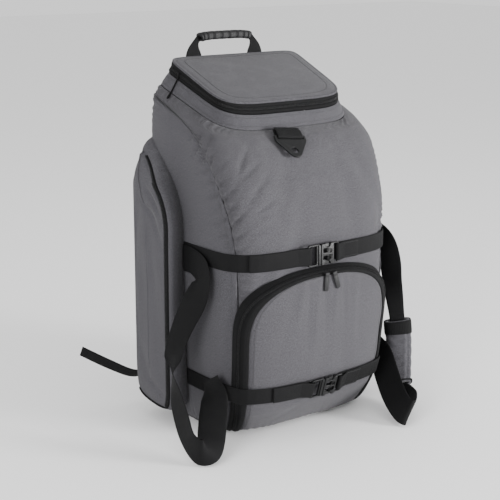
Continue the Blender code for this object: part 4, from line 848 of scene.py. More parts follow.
# %% [markdown]
# ## The front compartment
# Its outline is an arch: two straight legs under a rounded crown. A black zip tape rises from the
# bag's front all round it, and the padded flap closes it. Both are made over the same arch curve,
# at growing insets, and lifted off the front wall. The cloth under the crown is pulled by the
# zip, so soft vertical folds fall from it.

# %% Arch and lifts
FLAP_RISE, FLAP_PUFF, FLAP_TOP, FLAP_ARCH_START = 0.016, 0.007, 0.250, 0.150
FLAP_HALF, FLAP_MIDDLE = math.radians(48.5), math.radians(267.5)
GUSSET_SPREAD, GUSSET_DROP, GUSSET_WALL, SEAT = math.radians(8.0), 0.010, 0.0025, 0.0008
ARCH_POWER, WALL = 3.0, 0.002


def smooth_step(share):
    share = np.clip(share, 0.0, 1.0)
    return share * share * (3 - 2 * share)


def flap_rise(level):
    full, least = FLAP_RISE + GUSSET_WALL, GUSSET_WALL + SEAT + WALL
    return least + (full - least) * smooth_step(level / (0.35 * FLAP_TOP))


def flap_lift(across, level):
    fade = (1 - across**2) * smooth_step(level / (0.5 * FLAP_TOP))
    return flap_rise(level) + FLAP_PUFF * fade * smooth_step(1.6 * (FLAP_TOP - level) / FLAP_TOP)


def gusset_lift(inset, level):
    least = GUSSET_WALL + SEAT
    return least + (flap_rise(level) - least) * np.sin(inset * math.pi / 2)


def arch_rows(inset, legs=70, crown_steps=90):
    """Half turn and level up one side of the arch, at an inset share."""
    half = FLAP_HALF - GUSSET_SPREAD * inset
    crown = FLAP_TOP - GUSSET_DROP * inset
    foot = body_skin(FRONT, 0.012)[2]
    levels = np.linspace(foot, FLAP_ARCH_START, legs, endpoint=False)
    turn = np.radians(np.linspace(0, 89.2, crown_steps))
    side, up = np.cos(turn), np.sin(turn)
    reach = (side**ARCH_POWER + up**ARCH_POWER)**(1 / ARCH_POWER)
    return (np.concatenate((np.full(legs, half), half * side / reach)),
            np.concatenate((levels, FLAP_ARCH_START + (crown - FLAP_ARCH_START) * up / reach)))


# %% Gusset with its zip, and the flap
INSET_STEPS, STRAP_LEVEL = 22, 0.075
insets = np.linspace(0, 1, INSET_STEPS + 1)
left_rows = [arch_rows(inset) for inset in insets]
gusset_turns = np.stack([np.concatenate((-turns, turns[::-1])) for turns, _ in left_rows], 1) + FLAP_MIDDLE
gusset_levels = np.stack([np.concatenate((levels, levels[::-1])) for _, levels in left_rows], 1)
gusset_insets = np.broadcast_to(insets, gusset_turns.shape)
gusset_relief = (0.0007 * bell(gusset_insets, 0.30, 0.08) - 0.0006 * bell(gusset_insets, COIL_SHARE, 0.08)
                 + 0.0006 * bell(gusset_insets, 0.74, 0.07) - 0.0009 * bell(gusset_insets, 1.0, 0.06))
gusset_base = gusset_lift(gusset_insets, gusset_levels)
gusset_grid = lifted(gusset_turns, share_of(gusset_levels), gusset_base + gusset_relief)
gusset_normals = grid_normals(gusset_grid)
skin_normals = body_normal(gusset_turns, share_of(gusset_levels))
gusset_normals = gusset_normals * np.sign((gusset_normals * skin_normals).sum(-1, keepdims=True))
ride_on(shell("flap_gusset", gusset_grid, TAPE, 0.0018, gusset_normals), "zip_tape", "flap_gusset")
flap_coil = coil_along("flap_zip_coil", gusset_grid, gusset_normals,
                       (slice(4, -4), int(COIL_SHARE * INSET_STEPS)), 0.0005)

flap_half, flap_levels = arch_rows(1.0, 64, 84)
flap_across = np.linspace(-1, 1, 121)[None, :]
flap_turns = FLAP_MIDDLE + flap_across * flap_half[:, None]
flap_level = flap_levels[:, None] + 0 * flap_across
FLAP_FOLDS = (
    (-0.052, 0.205, 84, 0.040, 0.0050, 0.0012), (-0.038, 0.200, 88, 0.045, 0.0045, -0.0010),
    (-0.024, 0.196, 86, 0.050, 0.0050, 0.0010), (-0.008, 0.198, 91, 0.050, 0.0055, -0.0010),
    (0.010, 0.200, 89, 0.045, 0.0050, 0.0009), (0.026, 0.205, 94, 0.045, 0.0048, -0.0009),
    (0.046, 0.198, 92, 0.045, 0.0055, 0.0010), (-0.070, 0.180, 80, 0.040, 0.0060, -0.0008),
    (-0.030, 0.120, 86, 0.060, 0.0120, 0.0009), (0.030, 0.120, 93, 0.055, 0.0120, -0.0008),
    (0.000, 0.095, 4, 0.080, 0.0080, 0.0010), (-0.010, 0.052, 2, 0.090, 0.0070, 0.0010),
    (-0.050, 0.040, 30, 0.040, 0.0060, -0.0007), (0.055, 0.150, 99, 0.040, 0.0080, -0.0008),
)
flap_place = (flap_turns - FRONT) * HALF_WIDTH
flap_base = flap_lift(flap_across, flap_level)
flap_sides = ("first_row", "first_column", "last_column")
flap_relief = (border(lifted(flap_turns, share_of(flap_level), flap_base), flap_sides, dip=0.0018, roll=0.004,
                      pucker=0.0007, seed=31)
               + creases(flap_place, flap_level, FLAP_FOLDS)
               + soft_waves(flap_place, flap_level, 0.0012, 0.08, 33)
               - 0.0016 * bell(flap_level, STRAP_LEVEL, 0.014))
flap_out = lifted(flap_turns, share_of(flap_level), flap_base + flap_relief)
flap_normals = body_normal(flap_turns, share_of(flap_level))
# The flap takes the darker copy of the grey cloth: painted shade on the lamp-lit front.
flap = ride_on(shell("front_flap", flap_out, FRONT_GREY_PAINTED_SHADE, CLOTH_THICK, flap_normals),
               "front_cloth", "front_flap")
print("flap:", len(flap.data.polygons), "faces; coil:", len(flap_coil.data.polygons))

# %% [markdown]
# ## Side pockets
# Each side pocket is a tall bellows: a wall that stands off the side, then a face. A zip climbs
# its front edge and bends over the shoulder. The same outline, drawn in ring by ring, gives wall,
# rounded edge and face, and the face takes long soft folds, because nothing fills the pocket.

# %% Pocket rings
POCKET_DEPTH, POCKET_ROUND, POCKET_LEAN, POCKET_LENGTH = 0.034, 0.006, 0.014, 0.086
POCKET_HEIGHT, POCKET_LOW, POCKET_ZIP_WIDTH = 0.396, 0.026, 0.007
POCKET_OUTLINE = np.array((
    (0.86, 0.022), (0.50, 0.000), (0.12, 0.004), (0.010, 0.045), (0.000, 0.160), (0.000, 0.320),
    (0.000, 0.480), (0.000, 0.620), (0.010, 0.730), (0.160, 0.832), (0.430, 0.914), (0.700, 0.972),
    (0.900, 1.000), (0.985, 0.975), (1.000, 0.850), (1.000, 0.650), (1.000, 0.450), (1.000, 0.250),
    (0.985, 0.085),
))


def smooth_route(rows, samples, closed=False):
    """Samples of a curve that runs through all rows of a table."""
    rows = np.asarray(rows, float)
    count = len(rows)
    spans = count if closed else count - 1
    at = np.arange(samples if closed else samples + 1) * spans / samples
    k = np.minimum(at.astype(int), spans - 1)
    t = (at - k)[:, None]
    pick = (lambda i: rows[i % count]) if closed else (lambda i: rows[np.clip(i, 0, count - 1)])
    a, b, c, d = (pick(k + step) for step in (-1, 0, 1, 2))
    return 0.5 * (2 * b + (c - a) * t + (2 * a - 5 * b + 4 * c - d) * t**2 + (3 * b - a - 3 * c + d) * t**3)


def side_reach(back_place, level):
    """How far the skin reaches to the side, at a depth and a level."""
    low, high = np.zeros_like(level), np.ones_like(level)
    for _ in range(36):
        share = (low + high) / 2
        _, centre, deep, _, _, front, rear = section(share)
        below = front + (rear - front) * ((back_place - centre) / deep + 1) / 2 < level
        low, high = np.where(below, share, low), np.where(below, high, share)
    half, centre, deep, square, taper, _, _ = section((low + high) / 2)
    fore = np.clip((back_place - centre) / deep, -0.999, 0.999)
    power = np.where(fore > 0, SQUARE_BACK, square)
    return half * (1 - taper * (1 - fore) / 2) * (1 - np.abs(fore)**power)**(1 / power)


def pocket_crown(level):
    return POCKET_DEPTH * (0.50 + 0.50 * smooth_step((POCKET_LOW + POCKET_HEIGHT - level) / 0.060))


def pocket_loop(inset, samples):
    loop = smooth_route(POCKET_OUTLINE, samples, closed=True)
    places = np.stack((POCKET_LENGTH * loop[:, 0], POCKET_LOW + POCKET_HEIGHT * loop[:, 1]), -1)
    run = np.roll(places, -1, 0) - np.roll(places, 1, 0)
    inward = np.stack((run[:, 1], -run[:, 0]), -1)
    return places + inward / np.linalg.norm(inward, axis=1, keepdims=True) * inset


POCKET_COUNT, POCKET_SAG, POCKET_WALL, LOOP_STEP = 168, 0.015, 0.0015, 0.001
POCKET_FOLDS = (
    (0.012, 0.352, 62, 0.020, 0.0050, -0.0039), (0.026, 0.338, 42, 0.024, 0.0048, -0.0039),
    (0.042, 0.325, 30, 0.022, 0.0055, -0.0027), (0.018, 0.300, 60, 0.026, 0.0060, -0.0024),
    (0.045, 0.270, 88, 0.060, 0.0110, 0.0015), (0.030, 0.235, 78, 0.045, 0.0100, -0.0014),
    (0.055, 0.180, 92, 0.080, 0.0140, -0.0014), (0.060, 0.095, 55, 0.036, 0.0100, -0.0015),
    (0.030, 0.060, 25, 0.030, 0.0070, -0.0018), (0.070, 0.300, 100, 0.050, 0.0090, -0.0012),
)


def pocket_points(sign, out, loop, place, share=1.0):
    """Points a distance out from the middle, leaned forward and sagged by a share."""
    lean = POCKET_LEAN * math.sin(share * math.pi / 2) * (1 - place / POCKET_LENGTH)
    over_shoulder = (loop[:, 1] - POCKET_LOW - 0.72 * POCKET_HEIGHT) / (0.28 * POCKET_HEIGHT)
    sag = POCKET_SAG * share * smooth_step(over_shoulder)
    return np.stack((sign * out, loop[:, 0] - lean, loop[:, 1] - sag), -1)


def pocket_rings(sign, seed):
    """Rings from the foot on the side wall, over the rounded edge, to the middle of the face."""
    steps = [(0.0, share) for share in np.linspace(0.0, 0.80, 13)]
    steps += [(POCKET_ROUND * (1 - math.cos(a)), 0.80 + 0.20 * math.sin(a))
              for a in np.linspace(0.2, math.pi / 2, 8)]
    along = np.linspace(0, 1, POCKET_COUNT, endpoint=False) * 0.96
    ripple = 0.0007 * np.sin(2 * math.pi * along / 0.013 + 2.1 * np.sin(along * 60))
    rings = []
    for inset, share in steps:
        loop = pocket_loop(inset, POCKET_COUNT)
        back_place, level = loop[:, 0], loop[:, 1]
        foot = side_reach(np.minimum(back_place, BACK_REACH * 0.9), level) + SEAT
        out = foot + (np.maximum(HALF_WIDTH + pocket_crown(level), foot) - foot) * share
        bulge = 0.0016 * math.sin(math.pi * share) + ripple * math.sin(math.pi * share)**2
        inward = pocket_loop(inset + LOOP_STEP, POCKET_COUNT) - loop
        rings.append(pocket_points(sign, out, loop - inward / LOOP_STEP * bulge[:, None], back_place, share))
    edge = rings[-1]
    low, high = POCKET_LOW + 0.10 * POCKET_HEIGHT, POCKET_LOW + 0.72 * POCKET_HEIGHT
    middle = np.full(POCKET_COUNT, POCKET_LENGTH * 0.5)
    spine = np.stack((edge[:, 0], middle, np.clip(edge[:, 2], low, high)), -1)
    for share in np.linspace(0.035, 0.985, 26):
        ring = edge + (spine - edge) * share
        relief = creases(ring[:, 1], ring[:, 2], POCKET_FOLDS)
        relief = relief + soft_waves(ring[:, 1], ring[:, 2], 0.0013, 0.07, seed)
        fade = smooth_step(share / 0.12) if share < 0.12 else 1.0
        swell = 0.0022 * (1 - (1 - share)**3)
        ring[:, 0] = sign * (HALF_WIDTH + pocket_crown(ring[:, 2]) + relief * fade + swell)
        rings.append(ring)
    return np.array(rings)


def pocket_piece(name, sign, rings):
    """The pocket as a cloth shell: its rings, closed along the middle of the face by a row of quads."""
    depth, count = rings.shape[:2]
    normals = grid_normals(rings, wrap=True)
    outward = np.sign((normals[24] * np.array((sign, 0, 0))).sum(-1).mean())
    normals[-6:] = np.array((sign * outward, 0.0, 0.0))
    points = doubled(rings, rings - normals * outward * POCKET_WALL)
    base, last = count * depth, (depth - 1) * count
    faces = [*grid_quads(depth, count, 0, True), *grid_quads(depth, count, base, True, flip=True)]
    faces += [(j, base + j, base + (j + 1) % count, (j + 1) % count) for j in range(count)]
    for start, way in ((last, 1), (base + last, -1)):
        for j in range(1, count // 2):
            quad = (start + j, start + j + 1, start + (count - j - 1) % count, start + (count - j) % count)
            quad = tuple(dict.fromkeys(quad))
            if len(quad) > 2:
                faces.append(quad[::way])
        faces.append((start, start + 1, start + count - 1)[::way])
    uvs = np.stack((points[:, 1] + np.abs(points[:, 0]), points[:, 2]), -1)
    return ride_on(mesh_object(name, points, faces, GREY, uvs), "grey_cloth", name)


POCKET_SIDES = {"left": (-1, 41), "right": (1, 42)}
POCKET_RINGS = {side: pocket_rings(sign, seed) for side, (sign, seed) in POCKET_SIDES.items()}
pockets = [pocket_piece("side_pocket_" + side, sign, POCKET_RINGS[side])
           for side, (sign, _) in POCKET_SIDES.items()]
print("pockets:", [len(piece.data.polygons) for piece in pockets])


# %% Pocket zips
def pocket_zip(name, sign):
    """The tape on the front edge of the face, with its coil on the outer corner."""
    first, last = int(3 / 28 * POCKET_COUNT), int(17 / 28 * POCKET_COUNT)
    rows, facings = [], []
    for step in np.linspace(0, 1, 9):
        loop = pocket_loop(POCKET_ROUND * 0.55 + step * POCKET_ZIP_WIDTH, POCKET_COUNT)[first:last]
        bump = 0.0009 - 0.0007 * math.exp(-((step - 0.5) / 0.16)**2)
        out = HALF_WIDTH + pocket_crown(loop[:, 1]) + bump - 0.0022 * (1 - step)**3 + 0.0009
        rows.append(pocket_points(sign, out, loop, loop[:, 0]))
        facings.append(np.tile(unit(np.array((float(sign), -0.7 * (1 - step), 0.0))), (len(loop), 1)))
    grid, facing = np.array(rows), np.array(facings)
    ride_on(shell(name, grid, TAPE, 0.0011, facing), "zip_tape", name)
    return coil_along(name + "_coil", grid, facing, 4, 0.0003)


pocket_coils = [pocket_zip("pocket_zip_" + side, sign) for side, (sign, _) in POCKET_SIDES.items()]
print("pocket coils:", [len(coil.data.polygons) for coil in pocket_coils])

# %% [markdown]
# ## Webbing
# Every strap is the same thing: flat woven webbing, 1.5 mm thick, that follows a path and twists
# or folds on its way. It can be swept as a curve, but a curve can't hold a width that folds over
# on itself. So each strap is given as its two edge lines, and one tool closes a rounded section
# between them. Its UV map runs across and along the webbing, which turns the ribs with every twist.

# %% Webbing between two edge lines
WEBBING_THICK, STRAP_WIDTH, HANDLE_WIDTH, SEAM_GAP = 0.0015, 0.025, 0.040, 0.0003
ACROSS_STEPS, SELVAGE = 10, 0.12


def ribbon(name, first, second, cup=0.0):
    """Closed webbing from two edge lines, with rounded selvages and a slight cup across."""
    middle, width = (first + second) / 2, np.linalg.norm(second - first, axis=-1)
    across = unit(second - first)
    facing = unit(np.cross(unit(np.gradient(middle, axis=0)), across))
    shares = np.sin(np.linspace(-math.pi / 2, math.pi / 2, ACROSS_STEPS + 1)) / 2
    half = WEBBING_THICK / 2 * np.sqrt(np.maximum(1 - np.abs(2 * shares)**8, 0.0))
    half = half * (1 + SELVAGE * bell(np.abs(shares), 0.44, 0.03))
    bend = cup * (1 - (2 * shares)**2)
    ring_shares = np.concatenate((shares, shares[-2:0:-1]))
    ring_lift = np.concatenate((bend + half, (bend - half)[-2:0:-1]))
    over = ring_shares[None, :] * width[:, None]
    grid = middle[:, None] + across[:, None] * over[..., None] + facing[:, None] * ring_lift[None, :, None]
    rows, count = grid.shape[:2]
    uv = np.stack((over + 0.1, run_along(middle)[:, None] + 0 * over), -1)
    faces = list(grid_quads(rows, count, 0, True))
    for start, way in ((0, -1), ((rows - 1) * count, 1)):
        for k in range(ACROSS_STEPS - 1):
            quad = (start + k, start + k + 1, start + (count - k - 1) % count, start + (count - k) % count)
            faces.append(tuple(dict.fromkeys(quad))[::way])
        faces.append((start + ACROSS_STEPS - 1, start + ACROSS_STEPS, start + ACROSS_STEPS + 1)[::way])
    piece = mesh_object(name, grid.reshape(-1, 3), faces, WEBBING, uv.reshape(-1, 2))
    return ride_on(piece, "black_webbing", name)


# %% [markdown]
# ## Compression straps
# A taut strap takes the shortest way round the bag, which is the convex outline of everything
# under it at that level. The outline is found from the skin, the gusset and the flap. Each half
# starts in the side seam, runs to its bar of the buckle, goes round the bar and lies back on
# itself.

# %% Taut lines
UPPER_LEVEL, LOWER_LEVEL, BUCKLE_PLACE = 0.268, 0.075, -0.005
BUCKLE_LENGTH, BUCKLE_HEIGHT, BUCKLE_THICK, BUCKLE_BAR = 0.056, 0.031, 0.008, 0.0024
LADDER_SHARE, LADDER_THICK, LADDER_SLOT, BAR_LEAD, CORNER_SLACK = 0.40, 0.0034, 0.009, 0.016, 0.0014
SEAM_PLACE, RIGHT_TAIL = -0.004, 0.026


def hull(points):
    """The convex outline of flat points, counter-clockwise."""
    points = sorted(set(map(tuple, points)))

    def half(items):
        chain = []
        for p in items:
            while len(chain) > 1:
                a, b = chain[-2], chain[-1]
                if (b[0] - a[0]) * (p[1] - a[1]) - (b[1] - a[1]) * (p[0] - a[0]) > 0:
                    break
                chain.pop()
            chain.append(p)
        return chain[:-1]

    return np.array(half(points) + half(points[::-1]))


def at_real_level(turn, level, lift_at):
    source = level
    for _ in range(5):
        point = lifted(turn, share_of(source), lift_at(source))
        source += level - float(point[2])
    return point


def height_at(turn, level):
    """The height share whose skin point at this turn lies at a level."""
    low, high = 0.0, 1.0
    for _ in range(36):
        share = (low + high) / 2
        low, high = (share, high) if body_skin(turn, share)[2] < level else (low, share)
    return (low + high) / 2


def taut_outline(level, over_flap):
    turns = np.linspace(0, 2 * math.pi, 120, endpoint=False)
    found = [body_skin(turn, height_at(turn, level)) for turn in turns]
    if over_flap:
        half = FLAP_HALF - GUSSET_SPREAD
        for across in np.linspace(-1, 1, 25):
            found.append(at_real_level(FLAP_MIDDLE + across * half, level,
                                       lambda source: flap_lift(across, source)))
        for inset in (0.0, 0.34, 0.67, 1.0):
            for side in (-1, 1):
                turn = FLAP_MIDDLE + side * (FLAP_HALF - GUSSET_SPREAD * inset)
                found.append(at_real_level(turn, level, lambda source: gusset_lift(inset, source)))
    return hull([(round(float(p[0]), 6), round(float(p[1]), 6)) for p in found])


def hull_points(outline, angles):
    """Where rays from the middle cross the outline, from its corners' own angles."""
    corner = np.arctan2(outline[:, 1], outline[:, 0]) % (2 * math.pi)
    order = np.argsort(corner)
    corner, spots = corner[order], outline[order]
    found = []
    for angle in np.asarray(angles) % (2 * math.pi):
        k = int(np.searchsorted(corner, angle)) % len(corner)
        a, b = spots[k - 1], spots[k]
        aim, edge = np.array((math.cos(angle), math.sin(angle))), b - a
        cross = aim[0] * edge[1] - aim[1] * edge[0]
        share = (a[0] * aim[1] - a[1] * aim[0]) / cross
        found.append(a + edge * share)
    return np.array(found)


def strap_lines(level, outlines, angles):
    """Both edges of a strap on the body, with its facing out of the body."""
    edges = []
    for offset, outline in zip((-STRAP_WIDTH / 2, STRAP_WIDTH / 2), outlines):
        flat = hull_points(outline, angles)
        edges.append(np.column_stack((flat, np.full(len(flat), level + offset))))
    along = unit(np.gradient(edges[1], axis=0))
    facing = unit(np.cross(along, edges[1] - edges[0]))
    return edges[0], edges[1], facing


class Spot:
    """A place with three directions of its own, for pieces that are drawn flat and set on the bag."""

    def __init__(self, centre, across, up, out):
        self.centre, self.across = np.asarray(centre, float), np.asarray(across, float)
        self.up, self.out = np.asarray(up, float), np.asarray(out, float)

    def at(self, across, up, out):
        return self.centre + self.across * across + self.up * up + self.out * out


def buckle_spot(level, over_flap):
    """Where a buckle sits on the strap line, its angle round the bag, and the strap's two outlines."""
    middle_line = taut_outline(level, over_flap)
    outlines = [taut_outline(level + offset, over_flap) for offset in (-STRAP_WIDTH / 2, STRAP_WIDTH / 2)]
    low, high = math.pi, 2 * math.pi
    for _ in range(40):
        middle = (low + high) / 2
        before = hull_points(middle_line, [middle])[0][0] < BUCKLE_PLACE
        low, high = (middle, high) if before else (low, middle)
    reach = BUCKLE_LENGTH / 2 / FRONT_REACH
    lower, upper, _ = strap_lines(level, outlines, (low - reach, low, low + reach))
    centre_line = (lower + upper) / 2
    start, middle = centre_line[0], centre_line[1]
    along = unit(centre_line[2] - start)
    out = unit(np.cross(along, upper[1] - lower[1]))
    base = max(float((middle - start) @ out), 0.0) + SEAT + WEBBING_THICK
    base += CORNER_SLACK if over_flap else 0.0
    centre = start + along * float((middle - start) @ along) + out * (base + BUCKLE_THICK / 2)
    return Spot(centre, along, unit(np.cross(out, along)), out), low, outlines


STRAP_STITCHES = []


def strap_half(name, level, over_flap, sign, tail, spot, angle, outlines):
    """Half a strap: from the side seam to its buckle bar, round the bar, and back by the tail."""
    bar_place = sign * (BUCKLE_LENGTH / 2 - BUCKLE_BAR / 2)
    radius = math.hypot(BUCKLE_BAR, LADDER_THICK) / 2 + 2 * SEAM_GAP + WEBBING_THICK / 2
    side_angle = math.atan2(SEAM_PLACE, sign * HALF_WIDTH) % (2 * math.pi)
    end_angle = angle + (bar_place + sign * BAR_LEAD) / float(np.linalg.norm(spot.centre[:2]))
    lower, upper, facing = strap_lines(level, outlines, np.linspace(side_angle, end_angle, 150))
    facing = facing if sign < 0 else -facing
    low_lift = SEAT + WEBBING_THICK / 2 + (CORNER_SLACK if over_flap else 0.0)
    high_lift = low_lift + WEBBING_THICK + SEAT
    edges, back = [], run_along(lower[::-1]) <= tail
    for side, edge in ((-1, lower), (1, upper)):
        turn = [spot.at(bar_place - sign * radius * math.sin(s), side * STRAP_WIDTH / 2,
                        -radius * math.cos(s)) for s in np.linspace(0, math.pi, 15)]
        tail_line = (edge + facing * high_lift)[::-1][back]
        edges.append(np.concatenate((edge + facing * low_lift, turn, tail_line)))
    if sign > 0:
        low_edge, high_edge = lower + facing * high_lift, upper + facing * high_lift
        sewn = slice(len(lower) - int(back.sum()), None)
        for share in (0.10, 0.90):
            line = low_edge[sewn] + (high_edge[sewn] - low_edge[sewn]) * share
            STRAP_STITCHES.append((line + facing[sewn] * (WEBBING_THICK / 2), facing[sewn]))
    return ribbon(name, *edges)


buckles = {}
for prefix, level, over_flap, tail in (("upper", UPPER_LEVEL, False, 0.078),
                                       ("lower", LOWER_LEVEL, True, 0.046)):
    found = buckle_spot(level, over_flap)
    buckles[prefix] = found[0]
    strap_half(prefix + "_strap_left", level, over_flap, -1, tail, *found)
    strap_half(prefix + "_strap_right", level, over_flap, 1, RIGHT_TAIL, *found)
set_along("strap_stitches", STRAP_STITCHES, stitch, 0.0034, DARK_THREAD, "black_webbing")
print("straps and buckle places:", {k: spot.centre.round(3).tolist() for k, spot in buckles.items()})

# %% [markdown]
# ## Side release buckles
# Two mouldings: a plug with a ladder frame and two spring prongs, and a socket that the prongs
# snap into. The socket's sides are open, so the prongs show. Each moulding is drawn as flat
# outlines, given a depth, joined and rounded on its edges with a bevel.

# %% Buckle mouldings
def rounded_outline(corners, radius=0.0012, steps=4):
    """A flat outline whose corners are rounded off."""
    corners = np.asarray(corners, float)
    result = []
    for n, corner in enumerate(corners):
        before, after = corners[n - 1] - corner, corners[(n + 1) % len(corners)] - corner
        cut = min(radius, 0.45 * np.linalg.norm(before), 0.45 * np.linalg.norm(after))
        start, end = corner + unit(before) * cut, corner + unit(after) * cut
        for t in np.linspace(0, 1, steps + 1):
            result.append((1 - t)**2 * start + 2 * t * (1 - t) * corner + t * t * end)
    return np.array(result)


def box_line(left, right, tall, radius, right_tall=None):
    """A rounded rectangle, or a tapered one where its right end has its own half height."""
    right_tall = tall if right_tall is None else right_tall
    return rounded_outline([(left, -tall), (right, -right_tall), (right, right_tall), (left, tall)], radius)


def block(name, spot, line, bottom, top):
    """A flat outline given a depth."""
    count = len(line)
    faces = [tuple(range(count)), tuple(reversed(range(count, 2 * count)))]
    faces += [(n, (n + 1) % count, count + (n + 1) % count, count + n) for n in range(count)]
    return mesh_object(name, [spot.at(a, b, level) for level in (bottom, top) for a, b in line], faces, HARD)


def moulding(name, spot, outline, low, high, holes=()):
    """A plate between two depths with holes cut through it. The spot maps flat points to the bag."""
    body = block(name, spot, outline, low, high)
    for hole in holes:
        cutter = block(name + "_cutter", spot, hole, low - CUT_PAST, high + CUT_PAST)
        cut = body.modifiers.new("hole", "BOOLEAN")
        cut.operation, cut.object, cut.solver = "DIFFERENCE", cutter, "EXACT"
        mesh = evaluated_mesh(body)
        body.modifiers.clear()
        body.data = mesh
        bpy.data.objects.remove(cutter)
    return body


def rounded_join(name, parts, width, look=HARD, segments=3):
    """Several closed mouldings as one plastic piece with rounded edges."""
    for part in parts:
        edge = part.modifiers.new("edge", "BEVEL")
        edge.width, edge.segments, edge.limit_method, edge.angle_limit = width, segments, "ANGLE", EDGE_ANGLE
    depsgraph = bpy.context.evaluated_depsgraph_get()
    work = bmesh.new()
    for part in parts:
        work.from_mesh(part.evaluated_get(depsgraph).to_mesh())
    mesh = bpy.data.meshes.new(name)
    work.to_mesh(mesh)
    work.free()
    for part in parts:
        bpy.data.objects.remove(part)
    mesh.materials.clear()
    mesh.materials.append(look)
    mesh.shade_smooth()
    return ride_on(linked(name, mesh), "dark_plastic", name)


def build_buckle(prefix, spot):
    end, tall = BUCKLE_LENGTH / 2, BUCKLE_HEIGHT / 2
    split = BUCKLE_LENGTH * (LADDER_SHARE - 0.5)
    thin, thick, window = LADDER_THICK / 2, BUCKLE_THICK / 2, STRAP_WIDTH / 2 + SEAT
    ladder = moulding(prefix + "_ladder", spot, box_line(-end, split - 0.0005, tall, 0.003), -thin, thin,
                      [box_line(-end + BUCKLE_BAR, split - 0.0075, window, 0.0015)])
    neck_line = box_line(split - 0.0050, split - 0.0004, tall * 0.96, 0.0012, tall * 0.90)
    neck = moulding(prefix + "_neck", spot, neck_line, -thin * 0.9, thick * 0.78)
    prongs = []
    for side in (-1, 1):
        line = [(split - 0.0008, tall * 0.62), (split + 0.0060, tall * 0.66), (split + 0.0072, tall - 0.0004),
                (split + 0.0150, tall - 0.0002), (split + 0.0166, tall * 0.70), (split + 0.0166, tall * 0.55),
                (split - 0.0008, tall * 0.45)]
        line = rounded_outline([(a, side * b) for a, b in line][::side], 0.0012)
        prongs.append(moulding(prefix + "_prong", spot, line, -thin * 0.75, thin * 1.1))
    rounded_join(prefix + "_buckle_plug", [ladder, neck, *prongs], 0.0006)
    turn = end - LADDER_SLOT - BUCKLE_BAR
    notch, waist = (split + 0.006, split + 0.017), tall - 0.0052
    cut_low = [(split, -tall), (notch[0], -tall), (notch[0] + 0.002, -waist), (notch[1] - 0.002, -waist),
               (notch[1], -tall), (turn + 0.0005, -tall)]
    body_line = cut_low + [(a, -b) for a, b in cut_low[::-1]]
    left, right = split + 0.0030, turn - 0.0030
    window_line = ((left, 0.0028), (right, 0.0022), (right, 0.0062), ((left + right) / 2, 0.0092),
                   (left, 0.0078))
    windows = [rounded_outline([(a, side * b) for a, b in window_line], 0.0016) for side in (-1, 1)]
    body = moulding(prefix + "_body", spot, rounded_outline(body_line, 0.0016), -thin, thick * 0.97, windows)
    bar = moulding(prefix + "_bar", spot, box_line(turn - 0.003, end, tall, 0.003), -thin * 0.98, thin,
                   [box_line(turn + 0.0003, end - BUCKLE_BAR, window, 0.0015)])
    ridge_line = box_line(split + 0.0025, turn - 0.002, 0.0024, 0.0012, 0.0016)
    ridge = moulding(prefix + "_ridge", spot, ridge_line, 0.0, thick)
    rounded_join(prefix + "_buckle_socket", [body, bar, ridge], 0.0008)


CUT_PAST, EDGE_ANGLE = 0.01, math.radians(35)
for prefix, spot in buckles.items():
    build_buckle(prefix, spot)
print("buckles built")

# %% [markdown]
# ## Carry handles
# Each side handle is one long webbing loop that leaves the side at the strap, folds over, hangs
# to the floor and comes back. The tables hold its middle line and the direction across it. Where
# a fold is tighter than the webbing is wide, the inner edge is held back so that it never runs
# against the outer one.

# %% Handle routes
HANDLE_TOP, HANDLE_SWING, HANDLE_SAMPLES = 0.257, 0.080, 264
HANDLE_LEFT = (
    (0.058, 0.04, 1.000, 0.0, 0.0, 1.0, 1.0), (0.062, 0.20, 1.000, 0.0, 0.0, 1.0, 1.0),
    (0.100, 0.40, 0.965, 0.0, -0.7, 0.7, 1.1), (0.180, 0.45, 0.890, -0.1, -1.0, 0.0, 1.0),
    (0.310, 0.43, 0.790, -0.6, -0.8, 0.0, 0.9), (0.500, 0.39, 0.660, -0.8, -0.6, 0.0, 0.76),
    (0.640, 0.36, 0.530, -0.8, -0.6, 0.0, 0.66), (0.780, 0.44, 0.434, -0.6, 0.8, 0.0, 0.64),
    (0.880, 0.59, 0.324, -0.1, 1.0, 0.0, 0.80), (0.950, 0.76, 0.215, 0.0, 0.9, -0.4, 1.0),
    (1.000, 0.93, 0.130, 0.0, 0.6, -0.8, 1.0), (0.950, 1.08, 0.088, 0.0, 0.2, -1.0, 1.0),
    (0.780, 1.10, 0.096, -0.5, -0.3, -0.7, 1.0), (0.580, 0.97, 0.130, -0.8, -0.5, -0.2, 1.0),
    (0.380, 0.83, 0.190, -0.8, -0.6, 0.0, 1.0), (0.190, 0.70, 0.255, -0.5, -0.8, 0.0, 1.0),
    (0.090, 0.60, 0.310, -0.1, -1.0, 0.0, 1.0), (0.075, 0.54, 0.360, 0.0, -1.0, 0.0, 1.0),
)
